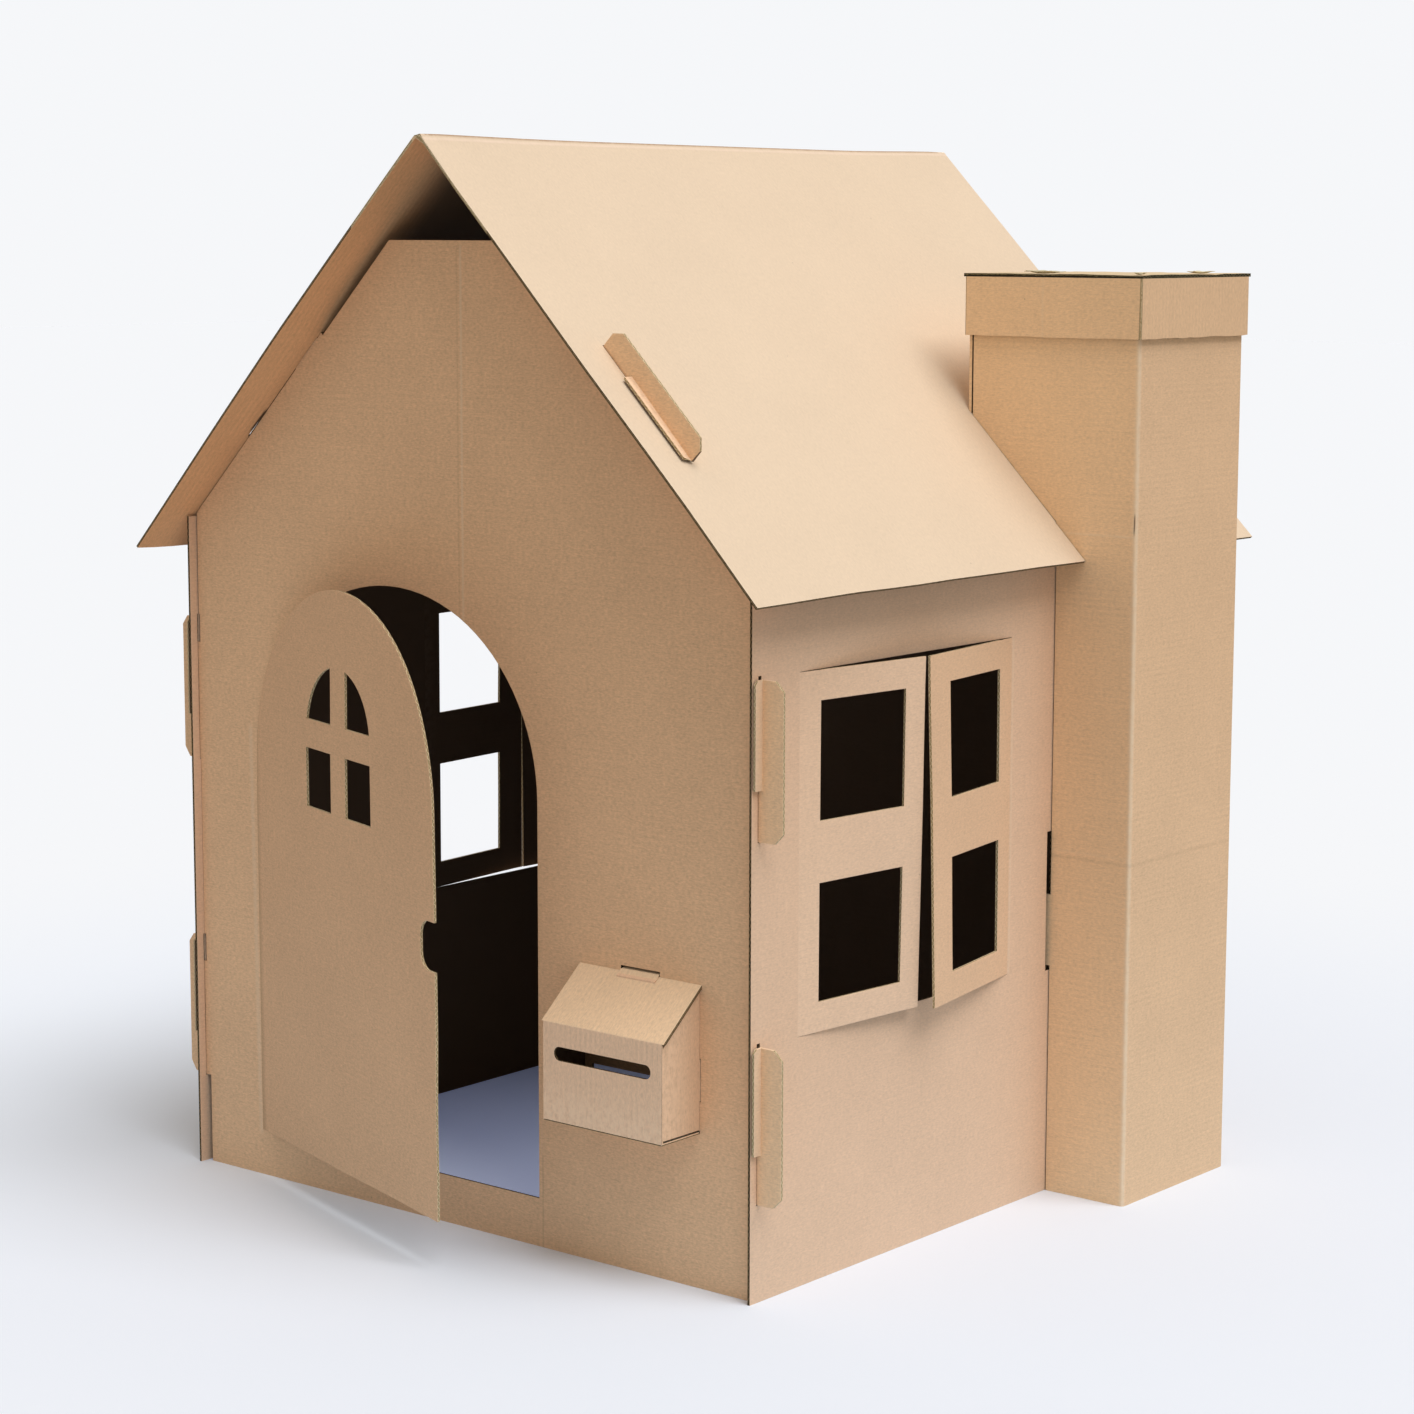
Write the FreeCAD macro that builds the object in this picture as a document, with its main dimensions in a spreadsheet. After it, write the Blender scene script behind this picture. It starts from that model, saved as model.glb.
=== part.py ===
import FreeCAD, Part
import math
import os
import re
import Sketcher

# A child's playhouse of folded corrugated board.
# X runs across the front, Y runs back from the middle of the front wall's board, Z is up from the floor.

DIMENSIONS = [
    # alias, value in mm or degrees, meaning
    ("card", 4, "thickness of the corrugated board"),
    ("gap", 0.4, "play between two boards that lie against each other"),
    ("kerf", 0.5, "cut round a leaf that folds out of a wall"),
    ("slotPlay", 0.75, "play on each side of a board in its slot"),
    ("slotSpare", 4, "how much longer a slot is than its tab"),
    ("houseWidth", 938, "over the outer faces of the side walls"),
    ("houseDepth", 923, "over the outer faces of the front and back walls"),
    ("wallHeight", 859, "side wall"),
    ("wallMargin", 12, "side wall beyond the front and back walls"),
    ("pitch", 45, "slope of the roof"),
    ("eaveOverhang", 46, "roof beyond the side wall, level"),
    ("frontOverhang", 57, "roof beyond the front wall"),
    ("backOverhang", 75, "roof beyond the back wall"),
    ("gableFlat", 216, "level top edge of a gable wall"),
    ("gableDrop", 4.1, "how far the upper gable edge stays short of the roof"),
    ("gableStep", 10, "stretch of snug gable edge above a roof tab"),
    ("footWidth", 12, "strip of a tab that folds flat"),
    ("footLift", 1.5, "how far a folded strip springs off the board below it"),
    ("footSlant", 5, "slanted end of a folded strip"),
    ("roofTabStart", 337, "ridge to the upper end of a roof tab, down the slope"),
    ("roofTabLength", 184, "roof tab"),
    ("roofTabNeck", 55, "the part of a roof tab that joins the wall"),
    ("roofTabRise", 30, "roof tab above the roof"),
    ("roofTabChamfer", 11, "corner of a roof tab"),
    ("sideTabLength", 186, "side tab"),
    ("sideTabNeck", 60, "the part of a side tab that joins the wall"),
    ("sideTabRise", 35, "side tab beyond the side wall"),
    ("sideTabChamfer", 12, "corner of a side tab"),
    ("upperTabDrop", 132, "top of the side wall to the top of the upper side tab"),
    ("lowerTabBase", 117, "floor to the lower side tab"),
    ("reliefWidth", 3, "relief cut beside the end of a side tab"),
    ("reliefLength", 36, "relief cut beside the end of a side tab"),
    ("footSetback", 8, "wall edge below the lower left tab, set back from the side wall"),
    ("doorMargin", 111, "outer face of the left wall to the door's crease"),
    ("doorWidth", 488.4, "door opening"),
    ("doorSill", 60.5, "floor to the door opening"),
    ("doorSpring", 547.8, "floor to where the door's arch starts"),
    ("doorAngle", 18.15, "how far the door stands open"),
    ("fingerBase", 363, "floor to the finger notch"),
    ("fingerHeight", 60, "finger notch"),
    ("fingerDepth", 35, "finger notch"),
    ("fingerCorner", 20, "finger notch corner radius"),
    ("doorPaneStart", 148, "crease to the door's window"),
    ("doorPaneSpan", 180, "door's window"),
    ("doorPaneBase", 512, "floor to the door's window"),
    ("doorPaneHeight", 75, "lower panes of the door"),
    ("doorPaneBar", 36, "level bar of the door's window"),
    ("doorPanePost", 40.5, "upright bar of the door's window"),
    ("doorPanePostStart", 70.5, "edge of the door's window to its upright bar"),
    ("doorPaneSpring", 606, "floor to the centre of the door window's arch"),
    ("windowStart", 87, "front edge of a side wall to its window"),
    ("windowSill", 300.6, "floor to the side window"),
    ("windowHead", 130.9, "side window to the top of the wall"),
    ("shutterWidth", 213.8, "each of the two shutters"),
    ("shutterRail", 36, "shutter above and below its panes"),
    ("shutterBar", 73, "shutter between its panes"),
    ("nearPaneStart", 35.5, "first shutter: crease to pane"),
    ("nearPaneWidth", 144.5, "first shutter: pane"),
    ("farPaneStart", 31, "second shutter: crease to pane"),
    ("farPaneWidth", 132, "second shutter: pane"),
    ("rightNearAngle", 5.8, "right wall, first shutter open"),
    ("rightFarAngle", 9.2, "right wall, second shutter open"),
    ("leftNearAngle", 4, "left wall, first shutter open"),
    ("leftFarAngle", 3.5, "left wall, second shutter open"),
    ("chimneySetback", 82.8, "back of the chimney to the outer face of the back wall"),
    ("chimneyDepth", 244.2, "chimney, front to back"),
    ("chimneyReach", 118.7, "chimney beyond the side wall"),
    ("chimneySeat", 135, "chimney over the roof, inward from the side wall"),
    ("chimneyRise", 310, "chimney above the top of the side wall"),
    ("chimneySeam", 2, "open seam between the chimney's first and last panels"),
    ("hookNeckBase", 296.5, "floor to the neck of the chimney's wall hook"),
    ("hookNeck", 92.5, "neck of the chimney's wall hook"),
    ("hookDrop", 82, "hook below its neck, and slot above it"),
    ("hookDepth", 24, "hook beyond the inner face of the wall"),
    ("hookSlotWide", 6, "extra width of the hook's slot, outside the chimney"),
    ("capPlay", 2, "play between the chimney and its cap"),
    ("capHeight", 78, "cap over its top face"),
    ("mailMargin", 85, "outer face of the right wall to the mailbox"),
    ("mailWidth", 183, "mailbox"),
    ("mailDepth", 69, "mailbox, out from the wall"),
    ("mailBase", 186, "floor to the mailbox"),
    ("mailFront", 120, "front face of the mailbox"),
    ("mailBack", 178, "mailbox at the wall"),
    ("mailLidLap", 2.5, "mailbox lid beyond its side panel"),
    ("mailSeam", 1, "open seam round the mailbox's side panels"),
    ("mailSlotMargin", 17, "side of the mailbox to its letter slot"),
    ("mailSlotBase", 75, "bottom of the mailbox to its letter slot"),
    ("mailSlotHeight", 17, "letter slot"),
    ("mailTabBase", 39, "bottom of the mailbox to its side tabs"),
    ("mailTabHeight", 50, "side tabs of the mailbox"),
    ("mailTabReach", 12, "mailbox tabs beyond the inner face of the wall"),
    ("mailLidTab", 59, "tab of the mailbox lid"),
    ("mailLidTabRise", 5, "top of the lid's tab above the lid"),
    ("mailHoleMargin", 16, "side of the mailbox to the hole in the wall behind it"),
    ("mailHoleBase", 11, "bottom of the mailbox to that hole"),
    ("mailHoleHeight", 46.5, "that hole"),
]
ALIASES = {alias for alias, number, meaning in DIMENSIONS}
WORD = re.compile("[A-Za-z]+")

doc = FreeCAD.newDocument("Playhouse")
sheet = doc.addObject("Spreadsheet::Sheet", "dims")
for row, (alias, number, meaning) in enumerate(DIMENSIONS, 1):
    sheet.set(f"A{row}", alias)
    sheet.set(f"B{row}", str(number))
    sheet.set(f"C{row}", meaning)
    sheet.setAlias(f"B{row}", alias)
doc.recompute()


def tied(formula):
    # A formula in the sheet's own words, as FreeCAD's expressions name its cells.
    return WORD.sub(lambda word: "dims." + word[0] if word[0] in ALIASES else word[0], str(formula))


def measure(formula):
    return float(sheet.evalExpression(tied(formula)))


# ---- Places that several boards share, as formulas ----

RIDGE = "(wallHeight + houseWidth / 2 * tan(pitch) + (card + gap) / cos(pitch))"
WALL_OUT = "(houseWidth / 2)"
WALL_IN = "(houseWidth / 2 - card)"
BACK_MID = "(houseDepth - card)"
UPPER_TAB = "(wallHeight - upperTabDrop - sideTabLength)"
DOOR_CREASE = "(doorMargin - houseWidth / 2)"
MAIL_RIGHT = "(houseWidth / 2 - mailMargin)"
MAIL_LEFT = "(houseWidth / 2 - mailMargin - mailWidth)"
MAIL_LID = "(mailBase + mailBack)"
CHIMNEY_BACK = "(houseDepth - card / 2 - chimneySetback)"
CHIMNEY_FRONT = "(houseDepth - card / 2 - chimneySetback - chimneyDepth)"
CHIMNEY_OUT = "(houseWidth / 2 + chimneyReach)"
CHIMNEY_IN = "(houseWidth / 2 - chimneySeat)"
CHIMNEY_TOP = "(wallHeight + chimneyRise)"


def on_slope(side, along, out):
    # A point in the gable's plane: down the slope from the ridge, and out from the roof's top face.
    across = f"{side} * (({along}) * cos(pitch) + ({out}) * sin(pitch))"
    height = f"{RIDGE} - ({along}) * sin(pitch) + ({out}) * cos(pitch)"
    return across, height


# ---- Sketches and features ----


def new_body(name):
    body = doc.addObject("PartDesign::Body", name)
    body.Label = name
    return body


def new_sketch(body, name, plane, place=None, turn=None):
    # place: axis of the plane -> formula; turn: axis and angle of a folded board.
    sketch = body.newObject("Sketcher::SketchObject", body.Name + name)
    support = next(item for item in body.Origin.OriginFeatures if item.Role == plane)
    sketch.AttachmentSupport = [(support, "")]
    sketch.MapMode = "FlatFace"
    if turn:
        axis, angle = turn
        rotation = FreeCAD.Rotation(FreeCAD.Vector(*axis), measure(angle))
        sketch.AttachmentOffset = FreeCAD.Placement(FreeCAD.Vector(), rotation)
        sketch.setExpression("AttachmentOffset.Rotation.Angle", tied(angle))
    for axis, formula in (place or {}).items():
        sketch.setExpression("AttachmentOffset.Base." + axis, tied(formula))
    return sketch


def add_loop(sketch, corners, arcs=None):
    # A closed loop of corners, each a pair of formulas.
    # arcs: number of the corner that an arc starts from -> centre's formulas and turn, 1 or -1.
    arcs = arcs or {}
    points = [FreeCAD.Vector(measure(x), measure(y), 0) for x, y in corners]
    first = sketch.GeometryCount
    count = len(points)
    ends = []
    for index, start in enumerate(points):
        finish = points[(index + 1) % count]
        if index in arcs:
            centre_x, centre_y, turn = arcs[index]
            centre = FreeCAD.Vector(measure(centre_x), measure(centre_y), 0)
            low, high = (start, finish) if turn > 0 else (finish, start)
            angles = [math.atan2(end.y - centre.y, end.x - centre.x) for end in (low, high)]
            circle = Part.Circle(centre, FreeCAD.Vector(0, 0, 1), (start - centre).Length)
            sketch.addGeometry(Part.ArcOfCircle(circle, *angles), False)
            ends.append((1, 2) if turn > 0 else (2, 1))
        else:
            sketch.addGeometry(Part.LineSegment(start, finish), False)
            ends.append((1, 2))
    for index in range(count):
        after = (index + 1) % count
        joined = Sketcher.Constraint(
            "Coincident", first + index, ends[index][1], first + after, ends[after][0])
        sketch.addConstraint(joined)
    for index, (x, y) in enumerate(corners):
        hold(sketch, "DistanceX", first + index, ends[index][0], x, points[index].x)
        hold(sketch, "DistanceY", first + index, ends[index][0], y, points[index].y)
    for index, (centre_x, centre_y, turn) in arcs.items():
        chord = points[(index + 1) % count] - points[index]
        if abs(chord.x) >= abs(chord.y):
            hold(sketch, "DistanceY", first + index, 3, centre_y, measure(centre_y))
        else:
            hold(sketch, "DistanceX", first + index, 3, centre_x, measure(centre_x))


def hold(sketch, kind, edge, end, formula, number):
    # Ties one coordinate of one point to the sheet.
    index = sketch.addConstraint(Sketcher.Constraint(kind, -1, 1, edge, end, number))
    sketch.setExpression(f"Constraints[{index}]", tied(formula))


def rectangle(left, low, right, high):
    return [(left, low), (right, low), (right, high), (left, high)]


def pad(body, sketch, length, side="One side", reverse=False):
    feature = body.newObject("PartDesign::Pad", sketch.Name + "Pad")
    feature.Profile = sketch
    feature.SideType = side
    feature.Reversed = reverse
    feature.Length = measure(length)
    feature.setExpression("Length", tied(length))
    sketch.Visibility = False
    return feature


def pocket(body, sketch, length):
    feature = body.newObject("PartDesign::Pocket", sketch.Name + "Pocket")
    feature.Profile = sketch
    feature.SideType = "Symmetric"
    feature.Length = measure(length)
    feature.setExpression("Length", tied(length))
    sketch.Visibility = False
    return feature


# ---- Gable walls ----


def side_tab(side, base):
    # Outline of one side tab and its neck, from the wall's edge above it to the edge below it.
    inside = f"{side} * ({WALL_IN} - gap)"
    crease = f"{side} * ({WALL_OUT} + footLift)"
    shoulder = f"{side} * ({WALL_OUT} + sideTabRise - sideTabChamfer)"
    tip = f"{side} * ({WALL_OUT} + sideTabRise)"
    relief = f"{side} * ({WALL_IN} - gap - reliefWidth)"
    top = f"{base} + sideTabLength"
    return [
        (inside, f"{top} + slotSpare"), (relief, f"{top} + slotSpare"),
        (relief, f"{top} + slotSpare - reliefLength"), (inside, f"{top} + slotSpare - reliefLength"),
        (inside, f"{base} + sideTabNeck"), (crease, f"{base} + sideTabNeck"), (crease, top),
        (shoulder, top), (tip, f"{top} - sideTabChamfer"), (tip, f"{base} + sideTabChamfer"),
        (shoulder, base), (inside, base),
    ]


def roof_tab(side):
    # Outline of one roof tab and its neck, from the upper gable edge to the snug edge below the tab.
    snug = "-card - gap"
    finish = "roofTabStart + roofTabLength"
    shoulder = "roofTabRise - roofTabChamfer"
    return [
        on_slope(side, "roofTabStart - gableStep", "-card - gap - gableDrop"),
        on_slope(side, "roofTabStart - gableStep", snug),
        on_slope(side, "roofTabStart", snug),
        on_slope(side, "roofTabStart", shoulder),
        on_slope(side, "roofTabStart + roofTabChamfer", "roofTabRise"),
        on_slope(side, f"{finish} - roofTabChamfer", "roofTabRise"),
        on_slope(side, finish, shoulder),
        on_slope(side, finish, "footLift"),
        on_slope(side, "roofTabStart + roofTabNeck", "footLift"),
        on_slope(side, "roofTabStart + roofTabNeck", snug),
    ]


def gable_side(side):
    # Half of a gable wall's outline, from the level top edge down to the floor.
    upper = "(card + gap + gableDrop)"
    flat_height = f"{RIDGE} - {upper} / cos(pitch) - gableFlat / 2 * tan(pitch)"
    inside = f"{side} * ({WALL_IN} - gap)"
    corner = f"{RIDGE} - (card + gap) / cos(pitch) - ({WALL_IN} - gap) * tan(pitch)"
    foot = f"{side} * ({WALL_IN} - footSetback)" if side < 0 else inside
    points = [(f"{side} * gableFlat / 2", flat_height)]
    points += roof_tab(side)
    points.append((inside, corner))
    points += side_tab(side, UPPER_TAB)
    points += side_tab(side, "lowerTabBase")
    if side < 0:
        points.append((foot, "lowerTabBase"))
    points.append((foot, "0"))
    return points


def gable_wall(name):
    body = new_body(name)
    sketch = new_sketch(body, "Sheet", "XZ_Plane")
    add_loop(sketch, gable_side(1) + gable_side(-1)[::-1])
    return body, sketch


def add_feet(body):
    # The strips of the tabs that fold over the margin of the side walls and over the roof.
    for side, word in ((1, "Right"), (-1, "Left")):
        for base, level in ((UPPER_TAB, "Upper"), ("lowerTabBase", "Lower")):
            place = {"z": f"{side} * ({WALL_OUT} + footLift + card / 2)"}
            sketch = new_sketch(body, word + level + "Foot", "YZ_Plane", place)
            top = f"{base} + sideTabLength"
            front = "-card / 2 - footWidth"
            add_loop(sketch, [
                ("0", f"{base} + sideTabNeck"), ("0", top), (f"{front} + footSlant", top),
                (front, f"{top} - footSlant"), (front, f"{base} + sideTabNeck")])
            pad(body, sketch, "card", "Symmetric")
        place = {
            "x": f"{side} * (footLift + card / 2) * sin(pitch)",
            "z": f"{RIDGE} + (footLift + card / 2) * cos(pitch)",
        }
        sketch = new_sketch(body, word + "RoofFoot", "XY_Plane", place, ((0, side, 0), "pitch"))
        start = f"{side} * (roofTabStart + roofTabNeck)"
        finish = f"{side} * (roofTabStart + roofTabLength)"
        front = "-card / 2 - footWidth"
        add_loop(sketch, [
            (start, "0"), (finish, "0"), (f"{finish} - {side} * footSlant", front), (start, front)])
        pad(body, sketch, "card", "Symmetric")


def door_leaf(body):
    # The door is part of the front wall's board and turns out on its crease.
    place = {"x": DOOR_CREASE}
    sketch = new_sketch(body, "DoorLeaf", "XZ_Plane", place, ((0, -1, 0), "doorAngle"))
    free = "(doorWidth - kerf)"
    finger_in = f"{free} - fingerDepth"
    finger_turn = f"{finger_in} + fingerCorner"
    finger_top = "fingerBase + fingerHeight"
    add_loop(
        sketch,
        [
            ("0", "doorSill + kerf"), (free, "doorSill + kerf"),
            (free, "fingerBase"), (finger_turn, "fingerBase"), (finger_in, "fingerBase + fingerCorner"),
            (finger_in, f"{finger_top} - fingerCorner"), (finger_turn, finger_top), (free, finger_top),
            (free, "doorSpring"), ("kerf", "doorSpring"), ("0", "doorSpring"),
        ],
        {
            3: (finger_turn, "fingerBase + fingerCorner", -1),
            5: (finger_turn, f"{finger_top} - fingerCorner", -1),
            8: ("doorWidth / 2", "doorSpring", 1),
        },
    )
    post_left = "doorPaneStart + doorPanePostStart"
    post_right = f"{post_left} + doorPanePost"
    pane_right = "doorPaneStart + doorPaneSpan"
    lower_top = "doorPaneBase + doorPaneHeight"
    upper_base = f"{lower_top} + doorPaneBar"
    add_loop(sketch, rectangle("doorPaneStart", "doorPaneBase", post_left, lower_top))
    add_loop(sketch, rectangle(post_right, "doorPaneBase", pane_right, lower_top))
    radius = "(doorPaneSpan / 2)"
    middle = "(doorPaneStart + doorPaneSpan / 2)"
    half_base = f"sqrt({radius} ^ 2 - ({upper_base} - doorPaneSpring) ^ 2)"
    left_top = f"doorPaneSpring + sqrt({radius} ^ 2 - ({middle} - ({post_left})) ^ 2)"
    right_top = f"doorPaneSpring + sqrt({radius} ^ 2 - ({post_right} - {middle}) ^ 2)"
    add_loop(
        sketch,
        [(f"{middle} - {half_base}", upper_base), (post_left, upper_base), (post_left, left_top)],
        {2: (middle, "doorPaneSpring", 1)},
    )
    add_loop(
        sketch,
        [(post_right, upper_base), (f"{middle} + {half_base}", upper_base), (post_right, right_top)],
        {1: (middle, "doorPaneSpring", 1)},
    )
    pad(body, sketch, "card", "Symmetric")
    bevel = new_sketch(body, "DoorCrease", "XY_Plane", {"z": "doorSill + kerf"})
    add_loop(bevel, [
        (DOOR_CREASE, "0"), (f"{DOOR_CREASE} + card / 2 * sin(doorAngle)", "card / 2 * cos(doorAngle)"),
        (DOOR_CREASE, "card / 2")])
    pad(body, bevel, "doorSpring - doorSill - kerf")


def make_front_wall():
    body, sketch = gable_wall("front_wall")
    door_right = f"{DOOR_CREASE} + doorWidth"
    add_loop(
        sketch,
        [(DOOR_CREASE, "doorSill"), (door_right, "doorSill"), (door_right, "doorSpring"),
         (DOOR_CREASE, "doorSpring")],
        {2: (f"{DOOR_CREASE} + doorWidth / 2", "doorSpring", 1)},
    )
    hole_base = "mailBase + mailHoleBase"
    add_loop(sketch, rectangle(
        f"{MAIL_LEFT} + mailHoleMargin", hole_base,
        f"{MAIL_RIGHT} - mailHoleMargin", f"{hole_base} + mailHoleHeight"))
    for left in (MAIL_LEFT, f"{MAIL_RIGHT} - card"):
        add_loop(sketch, rectangle(
            f"{left} - slotPlay", "mailBase + mailTabBase - slotPlay",
            f"{left} + card + slotPlay", "mailBase + mailTabBase + mailTabHeight + slotPlay"))
    middle = f"({MAIL_LEFT} + mailWidth / 2)"
    add_loop(sketch, rectangle(
        f"{middle} - mailLidTab / 2 - slotPlay", f"{MAIL_LID} + mailLidTabRise - card - slotPlay",
        f"{middle} + mailLidTab / 2 + slotPlay", f"{MAIL_LID} + mailLidTabRise + slotPlay"))
    pad(body, sketch, "card", "Symmetric")
    add_feet(body)
    door_leaf(body)
    return body


def make_back_wall():
    body, sketch = gable_wall("back_wall")
    pad(body, sketch, "card", "Symmetric")
    add_feet(body)
    turn_round(body)
    return body


def turn_round(body):
    # A board at the back, or on the left, is the same cut turned half a turn about the upright axis.
    rotation = FreeCAD.Rotation(FreeCAD.Vector(0, 0, 1), 180)
    body.Placement = FreeCAD.Placement(FreeCAD.Vector(0, measure(BACK_MID), 0), rotation)
    body.setExpression("Placement.Base.y", tied(BACK_MID))


# ---- Side walls ----


def shutter(body, name, hinge, way, pane_start, pane_width, angle):
    # way: 1 for a leaf that runs back from its crease, -1 for one that runs forward.
    board_mid = "(houseWidth / 2 - card / 2)"
    place = {"x": hinge, "z": board_mid}
    sketch = new_sketch(body, name, "YZ_Plane", place, ((0, -way, 0), angle))
    head = "(wallHeight - windowHead - kerf)"
    sill = "(windowSill + kerf)"
    add_loop(sketch, rectangle("0", sill, f"{way} * (shutterWidth - kerf)", head))
    pane_high = "((wallHeight - windowHead - windowSill - 2 * shutterRail - shutterBar) / 2)"
    for base in ("(windowSill + shutterRail)", f"(windowSill + shutterRail + {pane_high} + shutterBar)"):
        add_loop(sketch, rectangle(
            f"{way} * {pane_start}", base, f"{way} * ({pane_start} + {pane_width})", f"{base} + {pane_high}"))
    pad(body, sketch, "card", "Symmetric")
    bevel = new_sketch(body, name + "Crease", "XY_Plane", {"z": sill})
    add_loop(bevel, [
        (board_mid, hinge), (f"{board_mid} - card / 2", hinge),
        (f"{board_mid} - card / 2 * cos({angle})", f"{hinge} + {way} * card / 2 * sin({angle})")])
    pad(body, bevel, f"{head} - {sill}")


def side_wall(name, near_angle, far_angle, with_chimney):
    body = new_body(name)
    sketch = new_sketch(body, "Sheet", "YZ_Plane", {"z": "houseWidth / 2 - card / 2"})
    front = "(-card / 2 - wallMargin)"
    back = f"({BACK_MID} + card / 2 + wallMargin)"
    add_loop(sketch, rectangle(front, "0", back, "wallHeight"))
    window = f"({front} + windowStart)"
    add_loop(sketch, rectangle(
        window, "windowSill", f"{window} + 2 * shutterWidth", "wallHeight - windowHead"))
    slots = [
        (f"{middle} - card / 2 - slotPlay", f"{base} - slotPlay",
         f"{middle} + card / 2 + slotPlay", f"{base} + sideTabLength + slotSpare")
        for middle in ("0", BACK_MID) for base in (UPPER_TAB, "lowerTabBase")
    ]
    if with_chimney:
        slots += [
            (f"{start} - slotPlay - {forward} * hookSlotWide", "hookNeckBase - hookSlotWide",
             f"{start} + card + slotPlay + (1 - {forward}) * hookSlotWide", "hookNeckBase + hookNeck + hookDrop")
            for start, forward in ((CHIMNEY_FRONT, 1), (f"({CHIMNEY_BACK} - card)", 0))
        ]
    for slot in slots:
        add_loop(sketch, rectangle(*slot))
    pad(body, sketch, "card", "Symmetric")
    shutter(body, "NearShutter", window, 1, "nearPaneStart", "nearPaneWidth", near_angle)
    shutter(
        body, "FarShutter", f"({window} + 2 * shutterWidth)", -1, "farPaneStart", "farPaneWidth", far_angle)
    return body


def make_right_wall():
    return side_wall("right_wall", "rightNearAngle", "rightFarAngle", True)


def make_left_wall():
    body = side_wall("left_wall", "leftNearAngle", "leftFarAngle", False)
    turn_round(body)
    return body


# ---- Roof ----


def make_roof():
    body = new_body("roof")
    back = f"({BACK_MID} + card / 2 + backOverhang)"
    sketch = new_sketch(body, "Sheet", "XZ_Plane", {"z": f"-{back}"})
    slope = "((houseWidth / 2 + eaveOverhang) / cos(pitch))"
    under_ridge = f"{RIDGE} - card / cos(pitch)"
    # The fold is round outside and sharp inside.
    add_loop(
        sketch,
        [
            on_slope(1, slope, "0"), on_slope(1, "card * tan(pitch)", "0"),
            on_slope(-1, "card * tan(pitch)", "0"), on_slope(-1, slope, "0"),
            on_slope(-1, slope, "-card"), ("0", under_ridge), on_slope(1, slope, "-card"),
        ],
        {1: ("0", under_ridge, 1)},
    )
    pad(body, sketch, f"{back} + card / 2 + frontOverhang")
    for side, word in ((1, "Right"), (-1, "Left")):
        place = {"z": RIDGE}
        slots = new_sketch(body, word + "Slots", "XY_Plane", place, ((0, side, 0), "pitch"))
        for middle in ("0", BACK_MID):
            add_loop(slots, rectangle(
                f"{side} * (roofTabStart - slotPlay)", f"{middle} - card / 2 - slotPlay",
                f"{side} * (roofTabStart + roofTabLength - slotSpare)", f"{middle} + card / 2 + slotPlay"))
        pocket(body, slots, "4 * card")
    notch = new_sketch(body, "ChimneyNotch", "XY_Plane", {"z": "wallHeight"})
    add_loop(notch, rectangle(
        WALL_OUT, f"{CHIMNEY_FRONT} - 2 * gap",
        f"{WALL_OUT} + 2 * eaveOverhang", f"{CHIMNEY_BACK} + 2 * gap"))
    pocket(body, notch, "4 * eaveOverhang")
    return body


# ---- Chimney ----


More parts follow.
